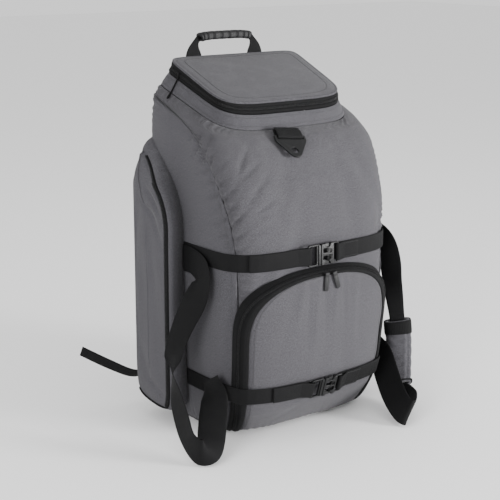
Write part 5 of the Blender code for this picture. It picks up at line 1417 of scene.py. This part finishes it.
HANDLE_RIGHT = (
    (0.070, 0.04, 1.000, 0.0, 0.0, 1.0, 1.0), (0.072, 0.25, 1.010, 0.0, 0.0, 1.0, 1.0),
    (0.080, 0.50, 1.030, 0.1, -0.1, 1.0, 1.0), (0.108, 0.69, 0.985, 0.3, -0.8, 0.5, 0.95),
    (0.155, 0.76, 0.880, 0.4, -0.9, 0.0, 0.92), (0.222, 0.765, 0.760, 0.5, -0.9, 0.0, 0.8),
    (0.320, 0.758, 0.630, 0.7, -0.7, 0.0, 0.68), (0.420, 0.74, 0.520, 0.8, -0.6, 0.0, 0.6),
    (0.470, 0.74, 0.420, 0.8, -0.6, 0.0, 0.6), (0.470, 0.76, 0.320, 0.8, -0.6, 0.0, 0.6),
    (0.455, 0.775, 0.205, 0.8, -0.6, 0.0, 0.6), (0.435, 0.80, 0.100, 0.8, -0.6, 0.0, 0.6),
    (0.290, 0.98, 0.072, 0.7, 0.0, 0.6, 0.75), (-0.080, 1.32, 0.080, 0.5, 0.0, 0.9, 1.0),
    (-0.450, 1.52, 0.084, 0.5, -0.1, 0.9, 1.0), (-0.520, 1.44, 0.100, 0.5, -0.2, 0.9, 1.0),
    (-0.370, 1.20, 0.150, 0.6, -0.4, 0.7, 1.0), (-0.110, 0.91, 0.225, 0.5, -0.6, 0.5, 1.0),
    (0.090, 0.68, 0.300, 0.1, -1.0, 0.2, 1.0), (0.090, 0.54, 0.370, 0.0, -1.0, 0.0, 1.0),
)


def handle_frames(table, sign):
    """Centre, across and along directions and width at every sample of a handle's route."""
    route = smooth_route(table, HANDLE_SAMPLES)
    centre = np.stack((sign * (HALF_WIDTH + route[:, 0] * HANDLE_SWING), -route[:, 1] * FRONT_REACH,
                       route[:, 2] * HANDLE_TOP), -1)
    along = unit(np.gradient(centre, axis=0))
    across = route[:, 3:6] * (sign, 1, 1)
    across = unit(across - along * (across * along).sum(-1, keepdims=True))
    return centre, across, along, route[:, 6] * HANDLE_WIDTH


def held_edges(centre, across, along, width, least=0.0001):
    """Both edges, each held from running back against the webbing's own direction."""
    edges = []
    for side in (-0.5, 0.5):
        line = centre + across * (width * side)[:, None]
        for n in range(1, len(line)):
            step = float((line[n] - line[n - 1]) @ along[n])
            if step < least:
                line[n] = line[n] + along[n] * (least - step)
        for _ in range(3):
            line[1:-1] = (line[:-2] + 2 * line[1:-1] + line[2:]) / 4
        edges.append(line)
    return edges


right_frames = handle_frames(HANDLE_RIGHT, 1)
handle_left = ribbon("handle_left", *held_edges(*handle_frames(HANDLE_LEFT, -1)), cup=0.0003)
handle_right = ribbon("handle_right", *held_edges(*right_frames))
print("handles:", len(handle_left.data.polygons), len(handle_right.data.polygons))

# %% [markdown]
# ## The grip on the right handle
# A padded sleeve wraps the right handle: quilted grey cloth, a sewn join down one side and black
# binding on both ends. It is a closed tube of rings with the quilting pressed in.

# %% Grip sleeve and bindings
GRIP_WIDTH, GRIP_THICK, GRIP_WALL, BINDING_WALL = 0.040, 0.015, 0.0046, 0.0015
GRIP_FROM, GRIP_TO, GRIP_SIDES, GRIP_SQUARE = 0.386, 0.591, 56, 2.6
SAMPLES_PER_ROW = HANDLE_SAMPLES / 44


def sleeve(name, frames, width, thick, wall_thick, look, slot_name, relief, fill=None):
    """A closed tube round the handle: rings of a rounded oval with a relief, and a wall inside."""
    centre, across, along, _ = frames
    facing = unit(np.cross(along, across))
    turns = full_turn(GRIP_SIDES)
    side, out = rounded_square(turns, GRIP_SQUARE)
    grow = relief(len(centre), turns)

    def rings(w, t, g):
        return (centre[:, None] + across[:, None] * (side * (w / 2 + g))[..., None]
                + facing[:, None] * (out * (t / 2 + g))[..., None])

    inner = rings(width - 2 * wall_thick, thick - 2 * wall_thick, 0 * grow)
    points = doubled(rings(width, thick, grow), inner)
    run, girth = run_along(centre), np.abs(turns / math.pi - 1) * width
    uv = np.stack((girth[None, :] + 0 * run[:, None], run[:, None] + 0 * girth[None, :]), -1)
    piece = mesh_object(name, points, shell_faces(len(centre), GRIP_SIDES, True), look, doubled(uv, uv))
    return ride_on(piece, slot_name, name, fill=fill)


def cut_frames(frames, start, end):
    return tuple(part[start:end] for part in frames)


def quilting(rows, turns):
    """Cross grooves between quilted cells, a lengthways join, and a tuck at both ends."""
    share = np.linspace(0, 1, rows)[:, None]
    cells = np.zeros((rows, len(turns)))
    for place in (0.36, 0.52, 0.60, 0.70):
        cells = cells - 0.0009 * bell(share, place, 0.014) * (np.sin(turns)[None, :]**2 > 0.02)
    join = -0.0012 * bell(turns, 0.9, 0.10)[None, :] + 0.0006 * bell(turns, 1.12, 0.10)[None, :]
    ripple = 0.0004 * np.sin(share * 40 + 2 * np.sin(turns * 3)[None, :])
    tuck = -0.0010 * bell(share, 0, 0.02) - 0.0010 * bell(1 - share, 0, 0.02)
    return cells + join + ripple + tuck


def binding_relief(rows, turns):
    return -0.0006 * (np.abs(np.linspace(-1, 1, rows))[:, None]**6) + 0 * turns[None, :]


grip_frames = cut_frames(right_frames, round(GRIP_FROM * HANDLE_SAMPLES), round(GRIP_TO * HANDLE_SAMPLES) + 1)
grip = sleeve("grip_wrap", grip_frames, GRIP_WIDTH, GRIP_THICK, GRIP_WALL, GREY, "grey_cloth", quilting,
              fill=0.6)
rim, grip_rows = 2 * (SEAM_GAP + BINDING_WALL), len(grip_frames[0])
for name, start, end in (("grip_binding_top", 0, round(2.2 * SAMPLES_PER_ROW)),
                         ("grip_binding_low", grip_rows - round(SAMPLES_PER_ROW), grip_rows)):
    sleeve(name, cut_frames(grip_frames, start, end), GRIP_WIDTH + rim, GRIP_THICK + rim, BINDING_WALL,
           WEBBING, "zip_tape", binding_relief)
print("grip:", len(grip.data.polygons), "faces")

# %% [markdown]
# ## Ring, tab and top handle
# A moulded plastic ring hangs from a short webbing tab on the front. The top handle is webbing
# inside a ribbed rubber grip. The grip is swept along the handle's arch; its nine slanted grooves
# are one bell curve in the radius, repeated along it.

# %% Ring and tab
def skin_spot(turn, height, lift=0.0):
    """A spot on the skin, with directions to the right, down the surface and out of it."""
    out = body_normal(turn, height)
    right = np.array((-math.sin(turn), math.cos(turn), 0.0))
    right = unit(right - out * float(right @ out))
    down = unit(np.cross(right, out))
    return Spot(lifted(turn, height, lift), right, -down if down[2] > 0 else down, out)


RING_PLACE, RING_ROW, RING_WIDTH, RING_DROP = -0.027, 0.900, 0.052, 0.038
RING_HOLE, RING_NOSE, RING_THICK, RING_BAR, RING_SLOT = 0.0048, 0.0068, 0.0035, 0.003, 0.004
TAB_WIDTH, TAB_LENGTH = 0.042, 0.014
ring_turn = FRONT
for _ in range(12):
    ring_turn += (RING_PLACE - float(body_skin(ring_turn, RING_ROW)[0])) / HALF_WIDTH
ring_spot = skin_spot(ring_turn, RING_ROW)
ring_low = SEAT + WEBBING_THICK + SEAM_GAP
nose = RING_HOLE + RING_NOSE
hole_down = RING_DROP - nose
ring_line = [(-RING_WIDTH / 2, 0), (RING_WIDTH / 2, 0), (RING_WIDTH / 2, RING_DROP * 0.26)]
ring_line += [(nose * math.cos(a), hole_down + nose * math.sin(a))
              for a in np.radians(np.arange(25, 156, 10))]
ring_line += [(-RING_WIDTH / 2, RING_DROP * 0.26)]
circle = [(RING_HOLE * math.cos(a), hole_down + RING_HOLE * math.sin(a)) for a in full_turn(32)]
slot_half, slot_end = TAB_WIDTH / 2 + SEAT, RING_BAR + RING_SLOT
slot_line = rounded_outline([(-slot_half, RING_BAR), (slot_half, RING_BAR), (slot_half, slot_end),
                             (-slot_half, slot_end)], 0.0014)
ring_body = moulding("ring_body", ring_spot, rounded_outline(ring_line, 0.0016, 2), ring_low,
                     ring_low + RING_THICK, [circle, slot_line])
rounded_join("ring", [ring_body], 0.0009)

middle_down, middle_out = RING_BAR / 2, ring_low + RING_THICK / 2
tab_radius = math.hypot(RING_BAR, RING_THICK) / 2 + SEAM_GAP + WEBBING_THICK / 2
tab_run = [(-TAB_LENGTH + k * TAB_LENGTH / 8, middle_out - tab_radius) for k in range(8)]
tab_run += [(middle_down + tab_radius * math.sin(s), middle_out - tab_radius * math.cos(s))
            for s in np.linspace(0, math.pi, 16)]
for k in range(1, 9):
    rise = tab_radius * (1 - 0.2 * k / 4) if k < 4 else tab_radius * 0.8 * (8 - k) / 4
    tab_run.append((-TAB_LENGTH * k / 8, middle_out + rise))
ribbon("ring_tab", *(np.array([ring_spot.at(side * TAB_WIDTH / 2, down, out) for down, out in tab_run])
                     for side in (-1, 1)))

# %% Top handle
TOP_PLACE, TOP_SPAN, TOP_RISE, TOP_SET, TOP_WIDTH = -0.014, 0.106, 0.063, 0.032, 0.029
GRIP_LENGTH, GRIP_TALL, GRIP_DEEP, GROOVE_DEPTH, GRIP_RIBS = 0.092, 0.012, 0.016, 0.0015, 9
stand = float(body_skin(math.pi / 2, COLLAR_ROW)[1])
lean = stand - float(body_skin(math.pi / 2, LID_ROW)[1])
half_span, half_grip = TOP_SPAN / 2, GRIP_LENGTH / 2
arch_right = ((0.0, 1.0), (half_grip * 0.72, 0.99), (half_grip * 1.04, 0.93), (half_span * 1.04, 0.72),
              (half_span * 1.06, 0.40), (half_span * 1.04, 0.0))
arch_table = [(-side, up) for side, up in reversed(arch_right)] + list(arch_right[1:])
arch_line = smooth_route(arch_table, 240)
arch_share = np.minimum(TOP_RISE * arch_line[:, 1] / TOP_SET, 1.0)
top_centre = np.stack((TOP_PLACE + arch_line[:, 0], stand - lean * arch_share + SEAT + WEBBING_THICK / 2,
                       HEIGHT - TOP_SET + TOP_RISE * arch_line[:, 1]), -1)
top_along = unit(np.gradient(top_centre, axis=0))
shares = np.linspace(0, 1, len(top_centre))
from_end = (0.5 - np.abs(shares - 0.5))[:, None]
narrow, inside = smooth_step((from_end - 0.12) / 0.16), smooth_step((from_end - 0.31) / 0.07)
flat = np.stack((top_along[:, 2], 0 * shares, -top_along[:, 0]), -1)
BACKWARD = np.array((0, 1.0, 0))
top_across = flat * (1 - inside) + BACKWARD * inside
top_across = unit(top_across - top_along * (top_across * top_along).sum(-1, keepdims=True))
top_width = TOP_WIDTH + (GRIP_DEEP * 0.6 - TOP_WIDTH) * narrow
ribbon("top_handle_webbing", *(top_centre + top_across * top_width * side for side in (-0.5, 0.5)))

on_grip = np.abs(arch_line[:, 0]) <= half_grip
place, grip_places = np.linspace(0, 1, 200), np.linspace(0, 1, int(on_grip.sum()))
grip_centre = interpolated(place, grip_places, top_centre[on_grip])
grip_along = unit(interpolated(place, grip_places, top_along[on_grip]))
grip_high = np.stack((-grip_along[:, 2], 0 * place, grip_along[:, 0]), -1)
ends_in = -0.0014 * (bell(place, 0, 0.012) + bell(1 - place, 0, 0.012))
deep, tall = rounded_square(full_turn(40), 4)
rib_phase = (place[:, None] * GRIP_RIBS + 0.30 * deep[None]) % 1.0 - 0.5
relief = 0.0004 - GROOVE_DEPTH * bell(rib_phase, 0, 0.13) + ends_in[:, None]


def grip_rings(deep_half, tall_half):
    return (grip_centre[:, None] + BACKWARD * (deep[None] * deep_half)[..., None]
            + grip_high[:, None] * (tall[None] * tall_half)[..., None])


outer = grip_rings(GRIP_DEEP / 2 - 0.0002 + relief, GRIP_TALL / 2 - 0.0002 + relief)
inner = grip_rings(GRIP_DEEP * 0.3 + 2 * SEAM_GAP + 0 * relief, WEBBING_THICK / 2 + 3 * SEAM_GAP + 0 * relief)
ride_on(mesh_object("top_handle_grip", doubled(outer, inner), shell_faces(*relief.shape, True), RUBBER),
        "dark_plastic", "top_handle_grip")
print("ring, tab and top handle")

# %% [markdown]
# ## Pulls and zip ends
# Small hard things finish the front: two pressed sliders with their tabs at the crown of the
# compartment, and a knotted cord puller on the lid's zip.

# %% Pulls
TAB_CORNERS = ((-0.0040, -0.0045), (0.0040, -0.0045), (0.0036, 0.0190), (-0.0036, 0.0190))
HEAD_CORNERS = ((-0.0040, -0.0080), (0.0040, -0.0080), (0.0032, -0.0015), (-0.0032, -0.0015))
for side, name, slant in ((-0.0125, "left", 0.06), (0.0075, "right", -0.34)):
    turn = FRONT + math.asin(side / HALF_WIDTH) * 0.8
    level = FLAP_TOP - GUSSET_DROP - 0.0030
    across = (turn - FLAP_MIDDLE) / (FLAP_HALF - GUSSET_SPREAD)
    spot = skin_spot(turn, share_of(level), flap_lift(across, level) + SEAT + SEAM_GAP)
    parts = []
    for title, corners, radius, low, high in (("pull_tab", TAB_CORNERS, 0.0018, 0.0004, 0.0023),
                                              ("pull_head", HEAD_CORNERS, 0.0014, 0.0, 0.0028)):
        line = [(a * math.cos(slant) - b * math.sin(slant), a * math.sin(slant) + b * math.cos(slant))
                for a, b in rounded_outline(corners, radius)]
        parts.append(moulding(title, spot, line, low, high))
    rounded_join("flap_pull_" + name, parts, 0.0005, RUBBER, 2)


def cord(name, points, radius, sides, steps, nodes=(), grow=np.ones_like):
    """A round cord along points, closed at both ends by small domes."""
    points = smooth_route(points, steps * (len(points) - 1))
    along = unit(np.gradient(points, axis=0))
    side = unit(np.cross(along, (0.31, 0.62, 0.72)))
    run = np.linspace(0, 1, len(points))
    size = radius * grow(run)
    size = size * np.sqrt(np.clip(np.minimum(run, 1 - run) * len(points) / 2 + 0.15, 0, 1))
    turns = full_turn(sides)
    grid = (points[:, None] + side[:, None] * (np.cos(turns)[None] * size[:, None])[..., None]
            + np.cross(along, side)[:, None] * (np.sin(turns)[None] * size[:, None])[..., None])
    length = np.linalg.norm(points[-1] - points[0])
    uv = np.stack((np.abs(turns / math.pi - 1)[None] * radius * 3 + 0 * run[:, None],
                   run[:, None] * length + 0 * turns[None]), -1)
    piece = mesh_object(name, grid.reshape(-1, 3), tube_faces(len(points), sides), WEBBING, uv.reshape(-1, 2))
    return ride_on(piece, "zip_tape", *nodes)


PULLER_TURN, PULLER_HEIGHTS = math.radians(152), (0.992, 0.975, 0.955, 0.935, 0.922)
cord("lid_puller", [lifted(PULLER_TURN, height, 0.0016 + SEAT) for height in PULLER_HEIGHTS], 0.0016, 12, 8,
     ["lid_puller"], lambda run: 0.75 + 0.45 * bell(run, 0.86, 0.10) + 0.25 * bell(run, 0.08, 0.05))
print("pulls built")

# %% [markdown]
# ## The back
# The side that rests on the wearer carries a quilted pad and two padded straps. Each strap ends in
# a frame: webbing goes down from it into the side seam, and the loose tail hangs over it and lies
# on the floor. A padded strap is a long pillow: thick in its middle, thin at its bound edges.

# The pads are filled with foam, so they are first built thin and then blown up: a cloth simulation
# with air pressure inside and no gravity runs for twenty frames, held at the bound edges and the
# stitched channels. Its result is kept as plain points, no point moving further than a cap. Both
# meshes are even quads already, so they need no remesh and keep their cloth map.

# %% Swelling by simulation
SWELL_FRAMES, SWELL_PRESSURE = 20, 4.0


def swollen(name, points, faces, held, cap):
    """The points after a cloth simulation under pressure. The held points stay where they are."""
    work = linked(name, plain_mesh(name, points, faces))
    work.vertex_groups.new(name="held").add([int(i) for i in np.flatnonzero(held)], 1.0, "REPLACE")
    cloth = work.modifiers.new("cloth", "CLOTH")
    cloth.settings.use_pressure, cloth.settings.uniform_pressure_force = True, SWELL_PRESSURE
    cloth.settings.effector_weights.gravity = 0.0
    cloth.settings.vertex_group_mass = "held"
    cloth.settings.quality, cloth.settings.mass = 6, 0.3
    cloth.settings.tension_stiffness = cloth.settings.compression_stiffness = 15.0
    cloth.settings.shear_stiffness, cloth.settings.bending_stiffness = 8.0, 0.5
    cloth.point_cache.frame_start, cloth.point_cache.frame_end = 1, SWELL_FRAMES
    for frame_number in range(1, SWELL_FRAMES + 1):
        bpy.context.scene.frame_set(frame_number)
    moved = np.empty(len(points) * 3)
    depsgraph = bpy.context.evaluated_depsgraph_get()
    work.evaluated_get(depsgraph).data.vertices.foreach_get("co", moved)
    moved = moved.reshape(-1, 3) - points
    bpy.context.scene.frame_set(1)
    mesh = work.data
    bpy.data.objects.remove(work)
    bpy.data.meshes.remove(mesh)
    far = np.linalg.norm(moved, axis=1, keepdims=True)
    print(name, "moved at most", round(float(far.max()) * 1000, 2), "mm")
    return points + moved * np.minimum(1.0, cap / np.maximum(far, 1e-9))


# %% Back pad and shoulder straps
PAD_THICK, BACK_PAD_THICK, BACK_PAD_WIDTH, BACK_PAD_LOW, BACK_PAD_HIGH = 0.012, 0.006, 0.216, 0.070, 0.470
SHOULDER_WIDTH, SHOULDER_TOP, SHOULDER_STANDOFF, LOW_WEBBING = 0.060, 0.462, 0.050, 0.020
STRAP_START, QUICK_START, STRAP_CAP, ADJUSTER_LEVEL = 0.84, 0.98, 0.0016, 0.197
PAD_NEAR = BACK_REACH + SEAM_GAP
PAD_FACE = PAD_NEAR + BACK_PAD_THICK + SEAM_GAP
SHOULDER_ROWS = (
    (0.300, 0.0, 1.000, 0.80), (0.310, 0.10, 0.950, 0.95), (0.360, 0.45, 0.860, 1.00),
    (0.450, 0.75, 0.740, 1.00), (0.550, 0.80, 0.620, 0.95), (0.620, 0.60, 0.510, 0.80),
    (0.650, 0.45, 0.455, 0.60),
)
LOW_ROWS = (
    (0.655, 0.40, 0.440), (0.662, 0.39, 0.410), (0.680, 0.35, 0.370), (0.730, 0.24, 0.270),
    (0.780, 0.05, 0.175), (0.800, -0.12, 0.125),
)
TAIL_ROWS = (
    (0.662, 0.66, 0.440, 1.0, 0.0, 0.1), (0.668, 0.66, 0.400, 1.0, 0.1, 0.1),
    (0.710, 0.65, 0.320, 1.0, 0.2, 0.2), (0.850, 0.38, 0.190, 0.7, -0.3, 0.7),
    (1.000, 0.14, 0.121, 0.4, -0.7, 0.9), (1.160, 0.12, 0.112, 0.1, -0.7, 0.9),
    (1.400, 0.36, 0.152, 0.0, -0.6, 1.0), (1.670, 0.64, 0.207, 0.0, -0.6, 1.0),
)

pad_turns = full_turn(160)
reach = (np.abs(np.cos(pad_turns))**6 + np.abs(np.sin(pad_turns))**6)**(1 / 6)
pad_side = BACK_PAD_WIDTH / 2 * np.cos(pad_turns) / reach
pad_up = (BACK_PAD_HIGH - BACK_PAD_LOW) / 2 * np.sin(pad_turns) / reach
pad_middle = (BACK_PAD_LOW + BACK_PAD_HIGH) / 2
CHANNELS_UP, CHANNEL_HALF, PAD_START, PAD_CAP = (0.17, 0.27, 0.37), 0.004, 0.0036, 0.0024


def channel_share(x, z):
    """One on a stitched channel of the back pad, zero away from it."""
    share = 0.0 * (x + z)
    for level in CHANNELS_UP:
        share = np.maximum(share, bell(z, level, CHANNEL_HALF))
    return np.maximum(share, bell(x, 0, CHANNEL_HALF))


def swollen_sheet():
    """How far the pad's face stands out, on an even grid over its width and height."""
    wide = np.linspace(-BACK_PAD_WIDTH / 2, BACK_PAD_WIDTH / 2, 45)
    high = np.linspace(BACK_PAD_LOW, BACK_PAD_HIGH, 81)
    x, z = np.meshgrid(wide, high)
    across, up = x / BACK_PAD_WIDTH * 2, (z - pad_middle) / (BACK_PAD_HIGH - BACK_PAD_LOW) * 2
    corner = (np.abs(across)**6 + np.abs(up)**6)**(1 / 6)
    points = np.stack((x, PAD_START + 0 * x, z), -1).reshape(-1, 3)
    held = (corner.ravel() > 0.955) | (channel_share(x, z).ravel() > 0.60)
    faces = grid_quads(*x.shape, flip=True)
    return wide, high, swollen("back_pad_sheet", points, faces, held, PAD_CAP)[:, 1].reshape(x.shape)


def sheet_depth(sheet, x, z):
    """The sheet's depth at any place, between its points."""
    wide, high, depths = sheet
    column = np.clip((x - wide[0]) / (wide[1] - wide[0]), 0, len(wide) - 1.001)
    row = np.clip((z - high[0]) / (high[1] - high[0]), 0, len(high) - 1.001)
    c, r = column.astype(int), row.astype(int)
    u, v = column - c, row - r
    return ((depths[r, c] * (1 - u) + depths[r, c + 1] * u) * (1 - v)
            + (depths[r + 1, c] * (1 - u) + depths[r + 1, c + 1] * u) * v)


pad_sheet = swollen_sheet()
pad_rings = []
for share in np.concatenate(([1.0, 1.0, 0.995, 0.985], np.linspace(0.965, 0.02, 60))):
    x, z = pad_side * share, pad_middle + pad_up * share
    plump = BACK_PAD_THICK * 0.96 * min(1.0, 0.30 + 2.6 * math.sqrt(max(1 - share, 0.0)))
    if pad_sheet is not None:
        plump = np.minimum(plump, sheet_depth(pad_sheet, x, z))
    depth = np.maximum(plump - 0.0020 * channel_share(x, z) * min(1.0, (1 - share) * 12), 0.0007)
    if not pad_rings:
        depth = 0 * x + 0.0004
    pad_rings.append(np.stack((x, PAD_NEAR + depth + 0 * x, z), -1))
pad_rings = np.array(pad_rings)
rows, count = pad_rings.shape[:2]
pad_back = pad_rings[0].copy()
pad_back[:, 1] = PAD_NEAR
points = np.concatenate((pad_rings.reshape(-1, 3), pad_back, [pad_rings[-1].mean(0)], [pad_back.mean(0)]))
base, last = rows * count, (rows - 1) * count
faces = list(grid_quads(rows, count, 0, True))
for j in range(count):
    k = (j + 1) % count
    faces += [(base + j, base + k, k, j), (last + j, last + k, base + count),
              (base + k, base + j, base + count + 1)]
ride_on(mesh_object("back_pad", points, faces, MESH_PAD, points[:, [0, 2]]),
        "grey_cloth", "back_pad", fill=0.6)


def padded_strap(name, centre, across, width, count=36):
    """A long pillow along a centre line, with a stitched groove beside both bound edges."""
    facing = unit(np.cross(unit(np.gradient(centre, axis=0)), across))
    turns = full_turn(count)
    side = np.cos(turns)
    groove = bell(np.abs(side), 0.86, 0.05)
    plump = np.sign(np.sin(turns)) * (1 - np.abs(side)**2.8)**0.5 * (1 - 0.22 * groove)
    share = np.linspace(0, 1, len(centre))[:, None]
    closing = np.minimum(1.0, 0.35 + 6 * np.minimum(share, 1 - share))
    ripple = 1 + 0.03 * np.sin(share * 70 + 2 * np.sin(share * 23))
    start = STRAP_START
    over = side[None] * width[:, None] / 2
    grid = (centre[:, None] + across[:, None] * over[..., None]
            + facing[:, None] * (plump[None] * PAD_THICK / 2 * closing * ripple * start)[..., None])
    uv = np.stack((over, run_along(centre)[:, None] + 0 * side[None]), -1)
    faces = tube_faces(len(centre), count)
    held = (np.abs(side[None]) > 0.84) | (share < 0.012) | (share > 0.988)
    blown = swollen(name + "_swell", grid.reshape(-1, 3), faces, held.ravel(), STRAP_CAP)
    grid = blown.reshape(grid.shape)
    out = ((grid - centre[:, None]) * facing[:, None]).sum(-1)
    most = PAD_THICK / 2 * np.minimum(1.0, closing * 1.2) * (0.985 - 0.30 * groove[None])
    grid = grid - facing[:, None] * (out - np.clip(out, -most, most))[..., None]
    piece = mesh_object(name, grid.reshape(-1, 3), faces, MESH_PAD, uv.reshape(-1, 2))
    return ride_on(piece, "grey_cloth", name, fill=0.6)


def back_centre(table, samples, sign):
    """The samples of a table behind the back, and their places."""
    rows = smooth_route(table, samples)
    depth = PAD_FACE + PAD_THICK / 2 + rows[:, 1] * SHOULDER_STANDOFF
    return rows, np.stack((sign * rows[:, 0] * HALF_WIDTH, depth, rows[:, 2] * SHOULDER_TOP), -1)


near = PAD_FACE + PAD_THICK / 2 + LOW_ROWS[0][1] * SHOULDER_STANDOFF + WEBBING_THICK / 2 + SEAM_GAP
far = PAD_FACE + PAD_THICK / 2 + TAIL_ROWS[0][1] * SHOULDER_STANDOFF - WEBBING_THICK / 2 - 2 * SEAT
adjuster_deep = (far - near) / 2
for sign, side in ((-1, "left"), (1, "right")):
    rows, centre = back_centre(SHOULDER_ROWS, 110, sign)
    flat = np.tile((1.0, 0.0, 0.0), (len(rows), 1))
    padded_strap("shoulder_strap_" + side, centre, flat, rows[:, 3] * SHOULDER_WIDTH)
    rows, centre = back_centre(LOW_ROWS, 60, sign)
    ribbon("lower_webbing_" + side, centre - (LOW_WEBBING / 2, 0, 0), centre + (LOW_WEBBING / 2, 0, 0))
    rows, centre = back_centre(TAIL_ROWS, 140, sign)
    across = unit(rows[:, 3:6] * (sign, 1, 1)) * LOW_WEBBING / 2
    ribbon("strap_tail_" + side, centre - across, centre + across)
    spot = Spot((sign * SHOULDER_ROWS[-1][0] * HALF_WIDTH, (near + far) / 2, ADJUSTER_LEVEL),
                (-1, 0, 0), (0, 0, 1), (0, 1, 0))
    adjuster = moulding("adjuster_frame", spot, box_line(-0.015, 0.015, 0.0105, 0.003),
                        -adjuster_deep, adjuster_deep, [box_line(-0.0115, 0.0115, 0.0055, 0.002)])
    rounded_join("adjuster_" + side, [adjuster], 0.0008)
print("back pad, straps, webbing, tails and adjusters")

# %% [markdown]
# ## Trim and stitching
# The last small things: black trim under each pocket, and the rows of stitches beside the seams.
# The stitches come from the same setter tree as the zip coils, along lines taken from the cloth
# pieces themselves, so that they lie on the cloth.

# %% Pocket trim and stitches
for side, (sign, _) in POCKET_SIDES.items():
    order = [n % POCKET_COUNT for n in range(-3, int(0.135 * POCKET_COUNT))]
    line = POCKET_RINGS[side][19][order] + np.array((sign * 0.0006, -0.0002, -0.0010))
    cord("pocket_trim_" + side, line[::2], 0.0015, 10, 3)

inner_rows = slice(4, -4)
lid_line = np.asarray(lid_rings[10])
lid_line = np.vstack((lid_line, lid_line[:1]))
STITCH_LINES = (
    ("front_stitches", "front_cloth", *WALLS["front_panel"], [(inner_rows, 4), (inner_rows, -5)]),
    ("side_stitches_left", "grey_cloth", *WALLS["side_panel_left"], [(slice(4, 152), -4)]),
    ("side_stitches_right", "grey_cloth", *WALLS["side_panel_right"], [(slice(4, 152), 3)]),
    ("collar_stitches", "grey_cloth", *WALLS["collar_band"], [(3, slice(3, -3)), (-4, slice(3, -3))]),
    ("flap_stitches", "front_cloth", flap_out, flap_normals, [(slice(4, -10), 3), (slice(4, -10), -4)]),
    ("lid_stitches", "grey_cloth", lid_line, np.tile(lid_up, (len(lid_line), 1)), [slice(None)]),
)
for name, slot_name, grid, normals, picks in STITCH_LINES:
    set_along(name, [on_cloth(grid, normals, pick) for pick in picks], stitch, 0.0033, THREAD, slot_name)
for spare in (tooth, stitch):
    bpy.data.objects.remove(spare)
